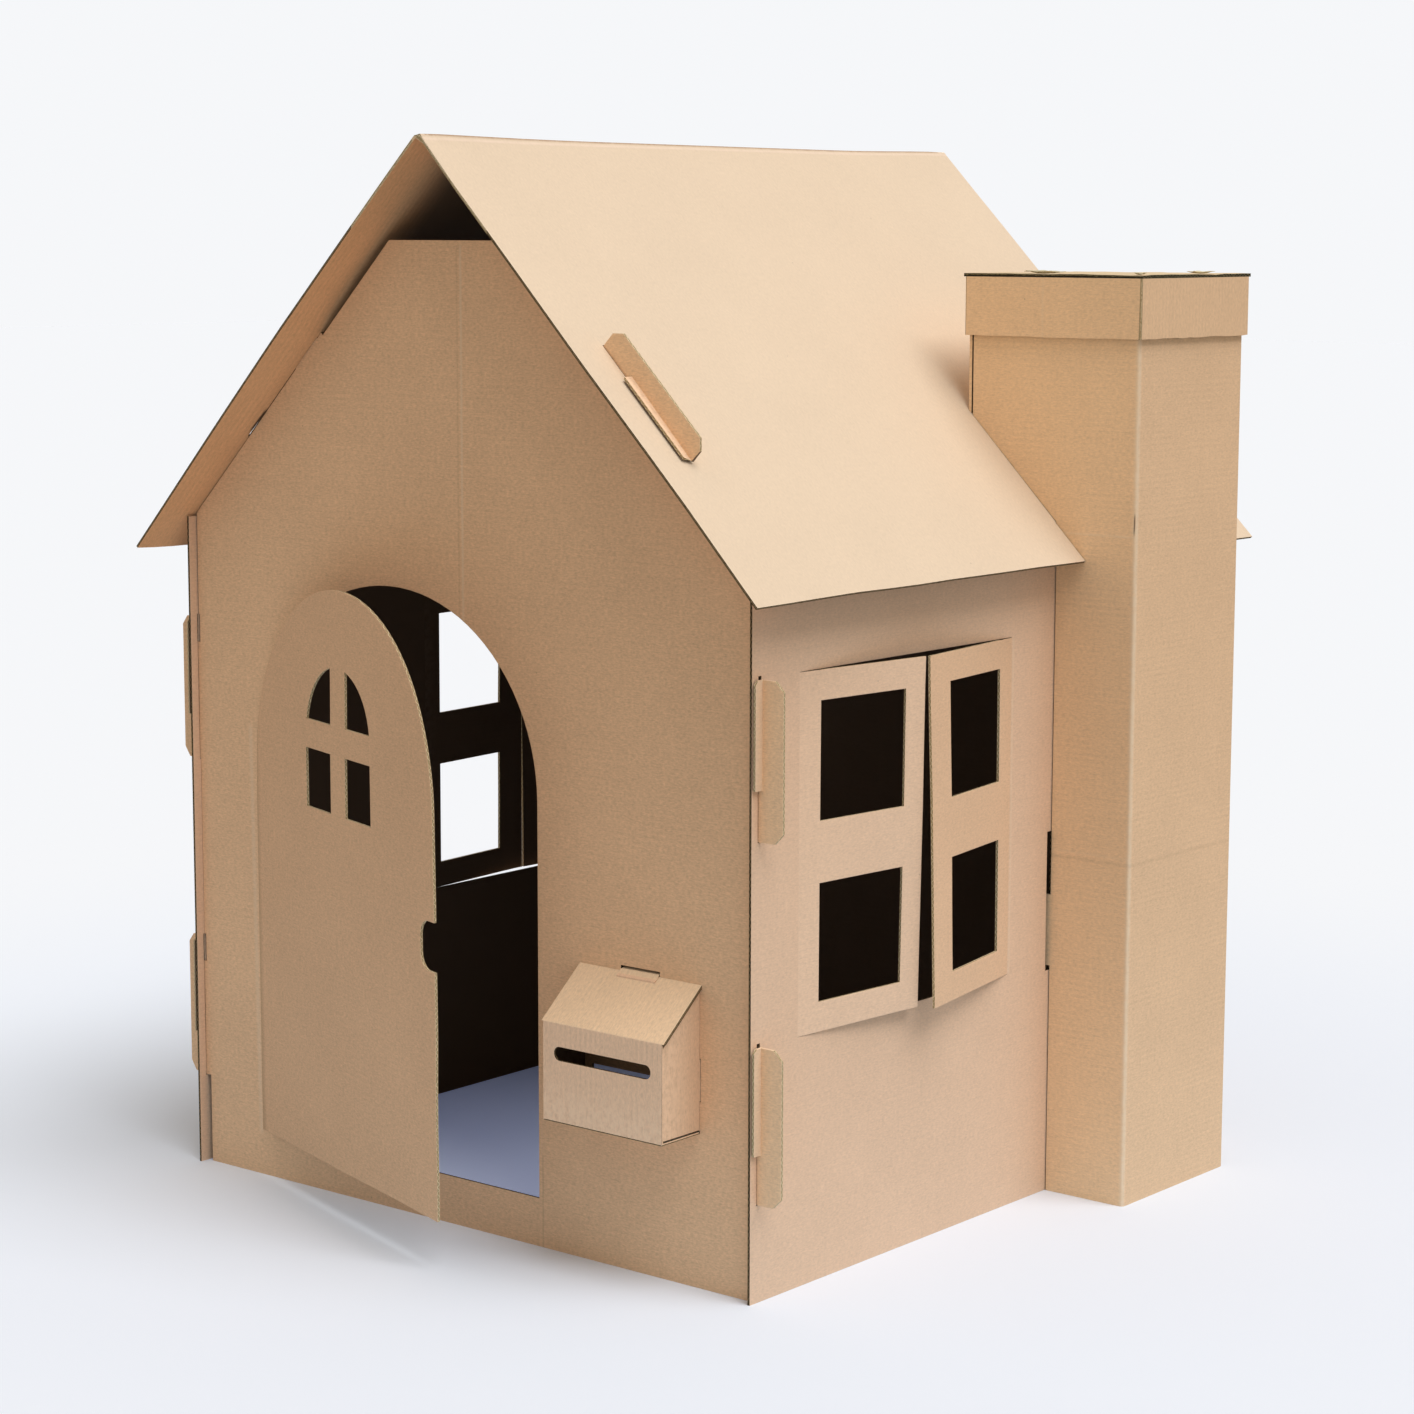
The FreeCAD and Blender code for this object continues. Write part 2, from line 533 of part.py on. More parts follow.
def make_chimney():
    body = new_body("chimney")
    sketch = new_sketch(body, "Sheet", "XY_Plane")
    seam = f"({CHIMNEY_IN} + card + chimneySeam)"
    # One board folded at three upright corners, each round outside and sharp inside.
    add_loop(
        sketch,
        [
            (seam, CHIMNEY_FRONT), (f"{CHIMNEY_OUT} - card", CHIMNEY_FRONT),
            (CHIMNEY_OUT, f"{CHIMNEY_FRONT} + card"), (CHIMNEY_OUT, f"{CHIMNEY_BACK} - card"),
            (f"{CHIMNEY_OUT} - card", CHIMNEY_BACK), (f"{CHIMNEY_IN} + card", CHIMNEY_BACK),
            (CHIMNEY_IN, f"{CHIMNEY_BACK} - card"), (CHIMNEY_IN, CHIMNEY_FRONT),
            (f"{CHIMNEY_IN} + card", CHIMNEY_FRONT), (f"{CHIMNEY_IN} + card", f"{CHIMNEY_BACK} - card"),
            (f"{CHIMNEY_OUT} - card", f"{CHIMNEY_BACK} - card"),
            (f"{CHIMNEY_OUT} - card", f"{CHIMNEY_FRONT} + card"), (seam, f"{CHIMNEY_FRONT} + card"),
        ],
        {
            1: (f"{CHIMNEY_OUT} - card", f"{CHIMNEY_FRONT} + card", 1),
            3: (f"{CHIMNEY_OUT} - card", f"{CHIMNEY_BACK} - card", 1),
            5: (f"{CHIMNEY_IN} + card", f"{CHIMNEY_BACK} - card", 1),
        },
    )
    pad(body, sketch, CHIMNEY_TOP)
    # Over the roof the panels stop on its slope; below it they stop at the side wall.
    middle = f"({CHIMNEY_FRONT} + chimneyDepth / 2)"
    under = new_sketch(body, "RoofCut", "XZ_Plane", {"z": f"-{middle}"})
    edge = f"({WALL_OUT} + gap)"
    past = f"({CHIMNEY_IN} - chimneySeat)"
    add_loop(under, [
        (past, "-card"), (edge, "-card"),
        (edge, f"{RIDGE} + gap / cos(pitch) - {edge} * tan(pitch)"),
        (past, f"{RIDGE} + gap / cos(pitch) - {past} * tan(pitch)")])
    pocket(body, under, "2 * chimneyDepth")
    inside = f"({WALL_IN} - gap)"
    for start, word in ((CHIMNEY_FRONT, "Front"), (f"({CHIMNEY_BACK} - card)", "Back")):
        hook = new_sketch(body, word + "Hook", "XZ_Plane", {"z": f"-({start} + card / 2)"})
        add_loop(hook, [
            (f"{edge} + card", "hookNeckBase"), (f"{edge} + card", "hookNeckBase + hookNeck"),
            (f"{inside} - hookDepth", "hookNeckBase + hookNeck"),
            (f"{inside} - hookDepth", "hookNeckBase - hookDrop + hookDepth / 2"),
            (f"{inside} - hookDepth / 2", "hookNeckBase - hookDrop"), (inside, "hookNeckBase - hookDrop"),
            (inside, "hookNeckBase")])
        pad(body, hook, "card", "Symmetric")
    return body


def make_chimney_cap():
    body = new_body("chimney_cap")
    outside = "(card + capPlay)"
    base = f"({CHIMNEY_TOP} + gap + card - capHeight)"
    left = f"({CHIMNEY_IN} - {outside})"
    right = f"({CHIMNEY_OUT} + {outside})"
    front = f"({CHIMNEY_FRONT} - {outside})"
    back = f"({CHIMNEY_BACK} + {outside})"
    lid = new_sketch(body, "Top", "XY_Plane", {"z": f"{base} + capHeight - card"})
    add_loop(lid, rectangle(left, front, right, back))
    pad(body, lid, "card")
    # Each flap is as wide as the panel it folds from, so the corners stay open.
    flaps = new_sketch(body, "Flaps", "XY_Plane", {"z": base})
    inner = f"({outside} - capPlay)"
    for low_x, low_y, high_x, high_y in (
        (f"{left} + {inner}", front, f"{right} - {inner}", f"{front} + card"),
        (f"{left} + {inner}", f"{back} - card", f"{right} - {inner}", back),
        (left, f"{front} + {inner} + gap", f"{left} + card", f"{back} - {inner} - gap"),
        (f"{right} - card", f"{front} + {inner} + gap", right, f"{back} - {inner} - gap"),
    ):
        add_loop(flaps, rectangle(low_x, low_y, high_x, high_y))
    pad(body, flaps, "capHeight - card / 2")
    return body


# ---- Mailbox ----


def make_mailbox():
    body = new_body("mailbox")
    front = "(-card / 2 - mailDepth)"
    wall = "(-card / 2 - gap)"
    rise = "((mailBack - mailFront) / (mailDepth - gap))"
    lid_card = f"(card * sqrt(1 + {rise} ^ 2))"
    mouth = "(mailBase + mailFront)"

    def lid_top(across):
        return f"{mouth} + ({across} - {front}) * {rise}"

    middle = f"({MAIL_LEFT} + mailWidth / 2)"
    strip = new_sketch(body, "FrontAndBottom", "YZ_Plane", {"z": middle})
    add_loop(strip, [
        (wall, "mailBase"), (front, "mailBase"), (front, mouth),
        (f"{front} + card", f"{mouth} + card * {rise} - {lid_card}"), (f"{front} + card", "mailBase + card"),
        (wall, "mailBase + card")])
    pad(body, strip, "mailWidth", "Symmetric")
    lid = new_sketch(body, "Lid", "YZ_Plane", {"z": middle})
    add_loop(lid, [
        (front, mouth), (f"{front} + card", f"{mouth} + card * {rise} - {lid_card}"),
        (wall, f"{lid_top(wall)} - {lid_card}"), (wall, lid_top(wall))])
    pad(body, lid, "mailWidth + 2 * mailLidLap", "Symmetric")
    for left, word in ((MAIL_LEFT, "Left"), (f"({MAIL_RIGHT} - card)", "Right")):
        panel = new_sketch(body, word + "Panel", "YZ_Plane", {"z": f"{left} + card / 2"})
        under_lid = f"{lid_card} - mailSeam"
        low = "mailBase + card + mailSeam"
        tab_low = "mailBase + mailTabBase"
        tab_high = f"{tab_low} + mailTabHeight"
        reach = "card / 2 + mailTabReach"
        add_loop(panel, [
            (f"{front} + card / 2", low), (wall, low), (wall, tab_low), (reach, tab_low),
            (reach, tab_high), (wall, tab_high), (wall, f"{lid_top(wall)} - {under_lid}"),
            (f"{front} + card / 2", f"{lid_top(front)} - {under_lid}")])
        pad(body, panel, "card", "Symmetric")
    tab = new_sketch(body, "LidTab", "YZ_Plane", {"z": middle})
    tab_top = f"{MAIL_LID} + mailLidTabRise"
    start = f"({wall} - 2 * card)"
    add_loop(tab, [
        (start, f"{lid_top(start)} - card / 2"), (f"{wall} + gap", f"{tab_top} - card"),
        ("card / 2 + mailTabReach", f"{tab_top} - card"), ("card / 2 + mailTabReach", tab_top),
        (f"{wall} - card", tab_top), (start, f"{lid_top(start)} + card / 2")])
    pad(body, tab, "mailLidTab", "Symmetric")
    letters = new_sketch(body, "LetterSlot", "XZ_Plane", {"z": f"-({front} + card / 2)"})
    low = "mailBase + mailSlotBase"
    radius = "mailSlotHeight / 2"
    left = f"{MAIL_LEFT} + mailSlotMargin + {radius}"
    right = f"{MAIL_RIGHT} - mailSlotMargin - {radius}"
    add_loop(
        letters,
        rectangle(left, low, right, f"{low} + mailSlotHeight"),
        {1: (right, f"{low} + {radius}", 1), 3: (left, f"{low} + {radius}", 1)},
    )
    pocket(body, letters, "3 * card")
    return body


# ---- Build, check and write ----

pieces = [
    make_front_wall(), make_back_wall(), make_right_wall(), make_left_wall(),
    make_roof(), make_chimney(), make_chimney_cap(), make_mailbox(),
]
doc.recompute()

for item in doc.Objects:
    if "Invalid" in item.State or "Error" in item.State:
        raise RuntimeError(item.Name + " failed: " + ", ".join(item.State))

os.makedirs("parts", exist_ok=True)
for piece in pieces:
    if piece.Shape.isNull() or not piece.Shape.isValid() or len(piece.Shape.Solids) != 1:
        raise RuntimeError(piece.Label + " is not one sound solid")
for piece in pieces:
    piece.Shape.exportStep(f"parts/{piece.Label}.step")
    box = piece.Shape.BoundBox
    print(f"{piece.Label}: {piece.Shape.Volume / 1000:.1f} cm3, {len(piece.Shape.Faces)} faces, "
          f"x {box.XMin:.1f} to {box.XMax:.1f}, y {box.YMin:.1f} to {box.YMax:.1f}, "
          f"z {box.ZMin:.1f} to {box.ZMax:.1f}")
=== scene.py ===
import math
import bmesh
import bpy
from mathutils import Matrix, Vector, noise


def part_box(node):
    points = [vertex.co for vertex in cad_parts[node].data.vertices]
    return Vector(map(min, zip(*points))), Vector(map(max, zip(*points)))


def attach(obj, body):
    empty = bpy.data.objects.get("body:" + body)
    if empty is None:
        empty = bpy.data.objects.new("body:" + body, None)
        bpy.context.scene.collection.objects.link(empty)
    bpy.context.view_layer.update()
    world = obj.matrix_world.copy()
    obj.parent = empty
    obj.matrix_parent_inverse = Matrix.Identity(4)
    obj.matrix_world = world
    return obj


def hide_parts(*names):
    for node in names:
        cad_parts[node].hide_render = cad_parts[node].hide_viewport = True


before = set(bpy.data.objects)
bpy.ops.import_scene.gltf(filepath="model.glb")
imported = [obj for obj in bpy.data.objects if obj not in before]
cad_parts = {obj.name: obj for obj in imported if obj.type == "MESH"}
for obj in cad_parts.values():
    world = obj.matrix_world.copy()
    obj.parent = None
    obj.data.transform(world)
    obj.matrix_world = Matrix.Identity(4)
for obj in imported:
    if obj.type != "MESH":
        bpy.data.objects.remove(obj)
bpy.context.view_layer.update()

# A folded-board playhouse: every cut sheet is finished here from the frame's sheet of the same name.
# Metres, Z up, the door faces -Y and the chimney stands on +X.

board = {
    "thick": 0.004,
    "flute": 0.0078,  # one wave of the fluting
    "rim": 0.0012,  # band along a cut that the knife has pressed down
    "crush": 0.0004,  # how far that band is pressed
    "slack": 0.0002,  # how far a face may lie off its panel's flat side
    "level": 0.999,  # cosine from which a face lies flat on its panel
    "steep": 0.02,  # cosine below which a face is a cut through the board
    "near": 0.0025,  # what lies this near the board's middle is part of it
    "leafNear": 0.0022,  # less for a leaf's faces, because the wall's are close by at its fold
    "bowNear": 0.003,  # and more for the corners that bow with a leaf
    "smooth": math.radians(28),
    "merge": 0.00002, "even": math.radians(0.4),  # corners and faces that are one in the sheet
}


def paint(red, green, blue):
    # 0-255 screen colour to the linear values that sockets take
    def linear(value):
        value = value / 255
        return value / 12.92 if value <= 0.04045 else ((value + 0.055) / 1.055) ** 2.4
    return (linear(red), linear(green), linear(blue), 1.0)


def newGroup(name, inputs, outputs):
    # an input's kind follows from its value: a number, a colour, or a vector where there is none
    kinds = {float: "NodeSocketFloat", tuple: "NodeSocketColor", type(None): "NodeSocketVector"}
    group = bpy.data.node_groups.new(name, "ShaderNodeTree")
    for label, value in inputs.items():
        socket = group.interface.new_socket(name=label, in_out="INPUT", socket_type=kinds[type(value)])
        if value is not None:
            socket.default_value = value
    for label in outputs:
        kind = kinds[tuple if label == "Color" else float]
        group.interface.new_socket(name=label, in_out="OUTPUT", socket_type=kind)
    given = group.nodes.new("NodeGroupInput").outputs
    return Wiring(group), given, group.nodes.new("NodeGroupOutput").inputs


class Wiring:
    # short hands for adding and joining nodes of one tree
    def __init__(self, tree):
        self.tree = tree

    def add(self, kind, **settings):
        node = self.tree.nodes.new(kind)
        for key, value in settings.items():
            setattr(node, key, value)
        return node

    def join(self, source, target):
        if isinstance(source, (int, float, tuple)):
            target.default_value = source
        else:
            self.tree.links.new(source, target)

    def math(self, operation, first, second=0.0, third=None, clamp=False):
        node = self.add("ShaderNodeMath", operation=operation, use_clamp=clamp)
        self.join(first, node.inputs[0])
        self.join(second, node.inputs[1])
        if third is not None:
            self.join(third, node.inputs[2])
        return node.outputs[0]

    def times(self, first, second):
        return self.math("MULTIPLY", first, second)

    def minus(self, first, second):
        return self.math("SUBTRACT", first, second)

    def timesPlus(self, first, second, third):
        return self.math("MULTIPLY_ADD", first, second, third)

    def split(self, vector):
        node = self.add("ShaderNodeSeparateXYZ")
        self.join(vector, node.inputs[0])
        return node.outputs

    def distance(self, place, point):
        node = self.add("ShaderNodeVectorMath", operation="DISTANCE")
        self.join(place, node.inputs[0])
        node.inputs[1].default_value = point
        return node.outputs["Value"]

    def fade(self, value, low, high, smooth=True):
        # 0 below low, 1 above high
        node = self.add("ShaderNodeMapRange", interpolation_type="SMOOTHSTEP" if smooth else "LINEAR")
        self.join(value, node.inputs["Value"])
        self.join(low, node.inputs["From Min"])
        self.join(high, node.inputs["From Max"])
        return node.outputs["Result"]

    def stretch(self, vector, scale):
        node = self.add("ShaderNodeMapping")
        node.inputs["Scale"].default_value = scale
        self.join(vector, node.inputs["Vector"])
        return node.outputs[0]

    def noise(self, vector, scale, detail=2.0, roughness=0.5):
        node = self.add("ShaderNodeTexNoise")
        node.inputs["Scale"].default_value = scale
        node.inputs["Detail"].default_value = detail
        node.inputs["Roughness"].default_value = roughness
        self.join(vector, node.inputs["Vector"])
        return node.outputs["Fac"]

    def swing(self, *settings):
        # the same noise, to both sides of 0
        return self.minus(self.noise(*settings), 0.5)

    def mix(self, factor, first, second, blend="MIX"):
        node = self.add("ShaderNodeMix", data_type="RGBA", blend_type=blend)
        self.join(factor, node.inputs["Factor"])
        self.join(first, node.inputs[6])
        self.join(second, node.inputs[7])
        return node.outputs[2]

    def bump(self, height, shader):
        node = self.add("ShaderNodeBump")
        node.inputs["Distance"].default_value = 1.0
        self.join(height, node.inputs["Height"])
        self.join(node.outputs[0], shader.inputs["Normal"])


linerLook = {
    # noise scales: the larger, the finer
    "wander": 6.0, "patches": 11.0, "fibres": 560.0, "grain": 230.0, "mottle": 60.0, "clouds": 6.0,
    # how much each of them changes the tone
    "fibreTone": 0.34, "grainTone": 0.26, "mottleTone": 0.10, "cloudTone": 0.26, "ribTone": 0.040,
    "swing": 1.2,  # how far the ribs stray from straight
    "patchFade": (0.35, 0.68),
    "specks": 38.0, "speckSize": (0.02, 0.055), "speckRarity": 0.93, "speckTone": -0.30,
    "rough": 0.84, "grainRough": 0.25,
    "ribHeight": 0.00004, "grainHeight": 0.00004, "mottleHeight": 0.00008,
}


def linerGroup():
    # The liner's paper: fibres, cloudy patches, specks, and the fluting that shows through as faint ribs.
    w, given, result = newGroup(
        "linerPaper",
        {"Sheet": None, "Color": (0.6, 0.4, 0.25, 1), "Ribs": 0.5, "Grain": 1.0, "Cloud": 0.5},
        ("Color", "Roughness", "Height"))
    look = linerLook
    place = given["Sheet"]
    split = w.split(place)
    wander = w.noise(w.stretch(place, (1, 0.4, 1)), look["wander"], 1.0)
    stray = w.times(wander, look["swing"])
    wave = w.math("SINE", w.timesPlus(split[1], 2 * math.pi / board["flute"], stray))
    patch = w.fade(w.noise(w.stretch(place, (1, 2.2, 1)), look["patches"], 3.0, 0.6), *look["patchFade"])
    ribs = w.times(w.times(wave, given["Ribs"]), patch)
    fibre = w.swing(w.stretch(place, (0.3, 1, 1)), look["fibres"], 2.0, 0.6)
    grain = w.swing(place, look["grain"], 3.0, 0.68)
    mottle = w.swing(place, look["mottle"], 3.0, 0.6)
    cloud = w.swing(place, look["clouds"], 4.0, 0.55)
    tone = w.timesPlus(fibre, look["fibreTone"], w.times(grain, look["grainTone"]))
    tone = w.timesPlus(mottle, look["mottleTone"], tone)
    tone = w.timesPlus(w.times(tone, given["Grain"]), 1.0, 1.0)
    tone = w.timesPlus(w.times(cloud, given["Cloud"]), look["cloudTone"], tone)
    tone = w.timesPlus(ribs, look["ribTone"], tone)
    cells = w.add("ShaderNodeTexVoronoi")
    cells.inputs["Scale"].default_value = look["specks"]
    w.join(place, cells.inputs["Vector"])
    chosen = w.add("ShaderNodeSeparateColor")
    w.join(cells.outputs["Color"], chosen.inputs[0])
    speck = w.minus(1.0, w.fade(cells.outputs["Distance"], *look["speckSize"]))
    speck = w.times(speck, w.math("GREATER_THAN", chosen.outputs[0], look["speckRarity"]))
    tone = w.timesPlus(speck, look["speckTone"], tone)
    grey = w.add("ShaderNodeCombineColor")
    for index in range(3):
        w.join(tone, grey.inputs[index])
    w.join(w.mix(1.0, given["Color"], grey.outputs[0], "MULTIPLY"), result["Color"])
    w.join(w.timesPlus(grain, look["grainRough"], look["rough"]), result["Roughness"])
    height = w.times(ribs, look["ribHeight"])
    height = w.timesPlus(grain, look["grainHeight"], height)
    height = w.timesPlus(mottle, look["mottleHeight"], height)
    w.join(height, result["Height"])
    return w.tree


cutLook = {
    "ragged": 170.0, "fuzz": 420.0,  # noise scales
    "stray": 2.0,  # how far the wave of the fluting strays along the cut
    "swing": 0.34,  # the wave's height, as a share of the board
    "tear": 0.0007,
    "medium": (0.0003, 0.0010),  # half the thickness of the waved paper, and where it has faded out
    "skin": (0.34, 0.42),  # where the liners begin, as a share of the board
    "fuzzFade": (0.2, 0.6),
    "relief": 0.0008,
}


def cutGroup():
    # A cut through the board: the liners' edges with the wave of the fluting between them. The hollows
    # between them are painted dark, painted shade inside the flutes.
    w, given, result = newGroup(
        "cutBoard",
        {"Sheet": None, "Place": None, "Paper": (0.5, 0.4, 0.3, 1), "Hollow": (0.1, 0.07, 0.04, 1),
         "Skin": (0.3, 0.2, 0.1, 1), "Wave": 1.0},
        ("Color", "Height"))
    look = cutLook
    split = w.split(given["Sheet"])
    ragged = w.swing(given["Place"], look["ragged"], 2.0)
    stray = w.times(ragged, look["stray"])
    phase = w.timesPlus(split[0], 2 * math.pi / board["flute"], stray)
    wave = w.times(w.math("SINE", phase), board["thick"] * look["swing"])
    wave = w.times(wave, given["Wave"])
    through = w.timesPlus(ragged, look["tear"], split[1])
    offWave = w.math("ABSOLUTE", w.minus(through, wave))
    medium = w.minus(1.0, w.fade(offWave, *look["medium"]))
    skin = w.fade(w.math("ABSOLUTE", through), *[board["thick"] * share for share in look["skin"]])
    fuzz = w.fade(w.noise(given["Place"], look["fuzz"], 2.0), *look["fuzzFade"])
    inner = w.mix(w.times(medium, fuzz), given["Hollow"], given["Paper"])
    w.join(w.mix(skin, inner, given["Skin"]), result["Color"])
    w.join(w.times(w.math("MAXIMUM", medium, skin), look["relief"]), result["Height"])
    return w.tree


scoreLook = {
    "drift": 40.0, "wear": 90.0,  # noise scales
    "stray": 0.0014,  # how far the line strays to the side
    "wearFade": (0.40, 0.60),
    "ends": 0.012,  # over this length the line fades in and out
}


def scoreGroup():
    # A straight crease or scuff along one axis of the sheet's own map, with soft ends.
    w, given, result = newGroup(
        "scoreLine",
        {"Across": 0.0, "Along": 0.0, "At": 0.0, "Lean": 0.0, "Width": 0.002, "From": -9.0, "To": 9.0,
         "Broken": 0.0},
        ("Mask",))
    look = scoreLook
    both = w.add("ShaderNodeCombineXYZ")
    w.join(given["Along"], both.inputs[0])
    w.join(given["At"], both.inputs[1])
    drift = w.swing(both.outputs[0], look["drift"], 2.0)
    worn = w.fade(w.noise(both.outputs[0], look["wear"], 3.0, 0.65), *look["wearFade"])
    start = w.minus(given["Along"], given["From"])
    end = w.minus(given["To"], given["Along"])
    offset = w.minus(given["Across"], given["At"])
    offset = w.minus(offset, w.times(start, given["Lean"]))
    offset = w.math("ABSOLUTE", w.timesPlus(drift, look["stray"], offset))
    line = w.minus(1.0, w.fade(offset, 0.0, given["Width"]))
    line = w.times(line, w.fade(w.math("MINIMUM", start, end), 0.0, look["ends"]))
    broken = w.times(w.minus(1.0, worn), given["Broken"])
    w.join(w.times(line, w.minus(1.0, broken)), result["Mask"])
    return w.tree


groups = {"liner": linerGroup(), "cut": cutGroup(), "score": scoreGroup()}


def useGroup(w, name, **values):
    node = w.add("ShaderNodeGroup")
    node.node_tree = groups[name]
    for label, value in values.items():
        w.join(value, node.inputs[label])
    return node


def startMaterial(name):
    material = bpy.data.materials.new(name)
    material.use_nodes = True
    w = Wiring(material.node_tree)
    shader = material.node_tree.nodes["Principled BSDF"]
    shader.inputs["Specular IOR Level"].default_value = 0.2
    return material, w, shader


endless = (-9.0, 9.0)  # ends of a mark that runs right across its sheet
# how the pressed band along a cut is paled: partly wear, partly painted highlight
rimLook = {"fade": (0.1, 0.9), "patches": 120.0, "patchFade": (0.35, 0.60), "paler": 20}


def mark(axis, at, width, low, high, tint, share, depth=0.0, lean=0.0, broken=0.3):
    # A line across the map's u or v axis: its place, half width, ends, colour, strength and depth.
    return dict(axis=axis, at=at, width=width, low=low, high=high, tint=tint, share=share, depth=depth,
                lean=lean, broken=broken)


def linerMaterial(name, color, ribs=0.6, grain=1.0, cloud=0.6, marks=(), deepen=None, wear=0.5):
    material, w, shader = startMaterial(name)
    sheet = w.add("ShaderNodeUVMap", uv_map="sheet").outputs[0]
    paper = useGroup(w, "liner", Sheet=sheet, Color=paint(*color), Ribs=ribs, Grain=grain, Cloud=cloud)
    shade = paper.outputs["Color"]
    height = paper.outputs["Height"]
    split = w.split(sheet)
    for item in marks:
        across, along = (0, 1) if item["axis"] == "u" else (1, 0)
        score = useGroup(
            w, "score", Across=split[across], Along=split[along], At=item["at"],
            Lean=item["lean"], Width=item["width"], From=item["low"], To=item["high"], Broken=item["broken"])
        shade = w.mix(w.times(score.outputs[0], item["share"]), shade, paint(*item["tint"]))
        height = w.timesPlus(score.outputs[0], item["depth"], height)
    # The band along every cut is paled: partly wear of the pressed paper, partly a painted highlight where
    # the edge catches light.
    rim = w.add("ShaderNodeAttribute", attribute_name="rim").outputs["Fac"]
    onRim = w.fade(rim, *rimLook["fade"])
    worn = w.times(onRim, w.fade(w.noise(sheet, rimLook["patches"], 3.0), *rimLook["patchFade"]))
    paler = paint(*[min(255, value + rimLook["paler"]) for value in color])
    shade = w.mix(w.times(worn, wear), shade, paler)
    if deepen:
        # painted shade: the board is darker further inside the house, from the front and from the back
        depth = w.split(w.add("ShaderNodeTexCoord").outputs["Object"])[1]
        inner = w.fade(depth, *deepen[:2])
        beyond = w.fade(depth, *deepen[2:])
        inner = w.times(inner, w.minus(1.0, beyond))
        shade = w.mix(inner, shade, paint(*tints["room"]))
    w.join(shade, shader.inputs["Base Color"])
    w.join(paper.outputs["Roughness"], shader.inputs["Roughness"])
    w.bump(height, shader)
    return material


def cutMaterial(name, paperColor, hollowColor, skinColor, wave=1.0):
    material, w, shader = startMaterial(name)
    sheet = w.add("ShaderNodeUVMap", uv_map="sheet").outputs[0]
    place = w.add("ShaderNodeTexCoord").outputs["Object"]
    cut = useGroup(w, "cut", Sheet=sheet, Place=place, Paper=paint(*paperColor), Hollow=paint(*hollowColor),
                   Skin=paint(*skinColor), Wave=wave)
    w.join(cut.outputs["Color"], shader.inputs["Base Color"])
    shader.inputs["Roughness"].default_value = 0.9
    w.bump(cut.outputs["Height"], shader)
    return material


# Each board's tint was set so that its face renders as bright as it looks. The differences between them are
# therefore partly painted light and shade: one kraft paper, lighter or darker by the way its face turns to
# the light.
tints = {
    "gable": (233, 192, 154),
    "leaf": (226, 184, 147),
    "side": (231, 197, 169),
    "shutter": (236, 203, 175),
    # painted shade: the far shutter is darker and more orange, for the shade and warm bounce next to the
    # chimney
    "farShutter": (230, 193, 160),
    "roof": (230, 210, 187),
    "chimneyFront": (243, 207, 167),
    "chimneySide": (230, 195, 160),
    "lid": (216, 194, 160),
    "tornPaper": (214, 206, 178),
    "mailFront": (240, 203, 172),
    "mailLid": (243, 212, 178),
    "mailSide": (227, 192, 160),
    # painted light: the tabs on the lit right side are made paler than the wall they belong to
    "tab": (243, 206, 168),
    "foot": (234, 204, 174),
    "under": (234, 182, 136),  # roof board seen from below
    # painted shade: the darker paper that stands for the dark inside the house and the boxes
    "room": (112, 93, 78),
}
# tints of marks: painted highlight and painted shade along scores, creases and folds, on the chimney's corner
# and at the ridge, the painted shade of a slit, and the painted dark of a slot's open end
light = (238, 212, 184)
dark = (128, 98, 72)
cornerHighlight = (246, 222, 194)
ridgeShade = (150, 106, 70)
ridgeHighlight = (250, 226, 210)
tear = (70, 52, 36)
slotShade = (30, 22, 15)
cutMaterials = {
    "cut": cutMaterial("cutEdge", (158, 132, 96), (52, 43, 28), (88, 70, 47), 0.8),
    "rakeCut": cutMaterial("rakeCut", (176, 150, 112), (78, 64, 42), (84, 68, 44), 0.1),
    "paleCut": cutMaterial("paleCut", (244, 228, 192), (176, 154, 116), (232, 206, 170)),
    # a darker copy for the cap lid's and the mailbox bottom's edges: painted shade
    "deepCut": cutMaterial("deepCut", (130, 118, 86), (38, 34, 22), (78, 70, 46)),
}
# the paper inside the house and the boxes, darkened: painted shade
roomShadePaper = linerMaterial("roomShadePaper", tints["room"], 0.5, 0.8, 0.5)


def panel(normal, flute, origin=(0, 0, 0), liner="liner", cut="cut"):
    # One flat part of a sheet: the middle of its board, its outward side and the way its fluting runs.
    normal = Vector(normal).normalized()
    flute = Vector(flute).normalized()
    return {"normal": normal, "flute": flute, "across": normal.cross(flute), "origin": Vector(origin),
            "liner": liner, "cut": cut}


def onTab(middle):
    # a gable's tabs: past the side walls, or above the roof's slope
    overSlope = middle.z + abs(middle.x) > gable["ridge"] + gable["clear"]
    return abs(middle.x) > gable["tabLine"] or (overSlope and middle.z > gable["eaves"])


def panelOf(panels, middle, facing):
    # The panel that a face belongs to and whether the face is a cut through the board.
    half = board["thick"] / 2
    for item in panels:
        depth = (middle - item["origin"]).dot(item["normal"])
        turned = abs(facing.dot(item["normal"]))
        if turned > board["level"] and abs(abs(depth) - half) < board["slack"]:
            return item, False
        if turned < board["steep"] and abs(depth) < half + board["slack"]:
            return item, True
    return max(panels, key=lambda item: abs(facing.dot(item["normal"]))), False


room = {
    "side": 0.4685, "front": 0.0, "back": 0.919,
    # where the painted shade of the room fades in at the front and out at the back
    "sideFade": (-0.004, 0.045, 0.880, 0.930),
    "roofFade": (-0.030, 0.060, 0.880, 0.940),
}


def inRoom(middle):
    return abs(middle.x) < room["side"] and room["front"] < middle.y < room["back"]


def everywhere(middle):
    return True


def selectOnly(*pieces):
    bpy.ops.object.select_all(action="DESELECT")
    for piece in pieces:
        piece.select_set(True)
    bpy.context.view_layer.objects.active = pieces[0]


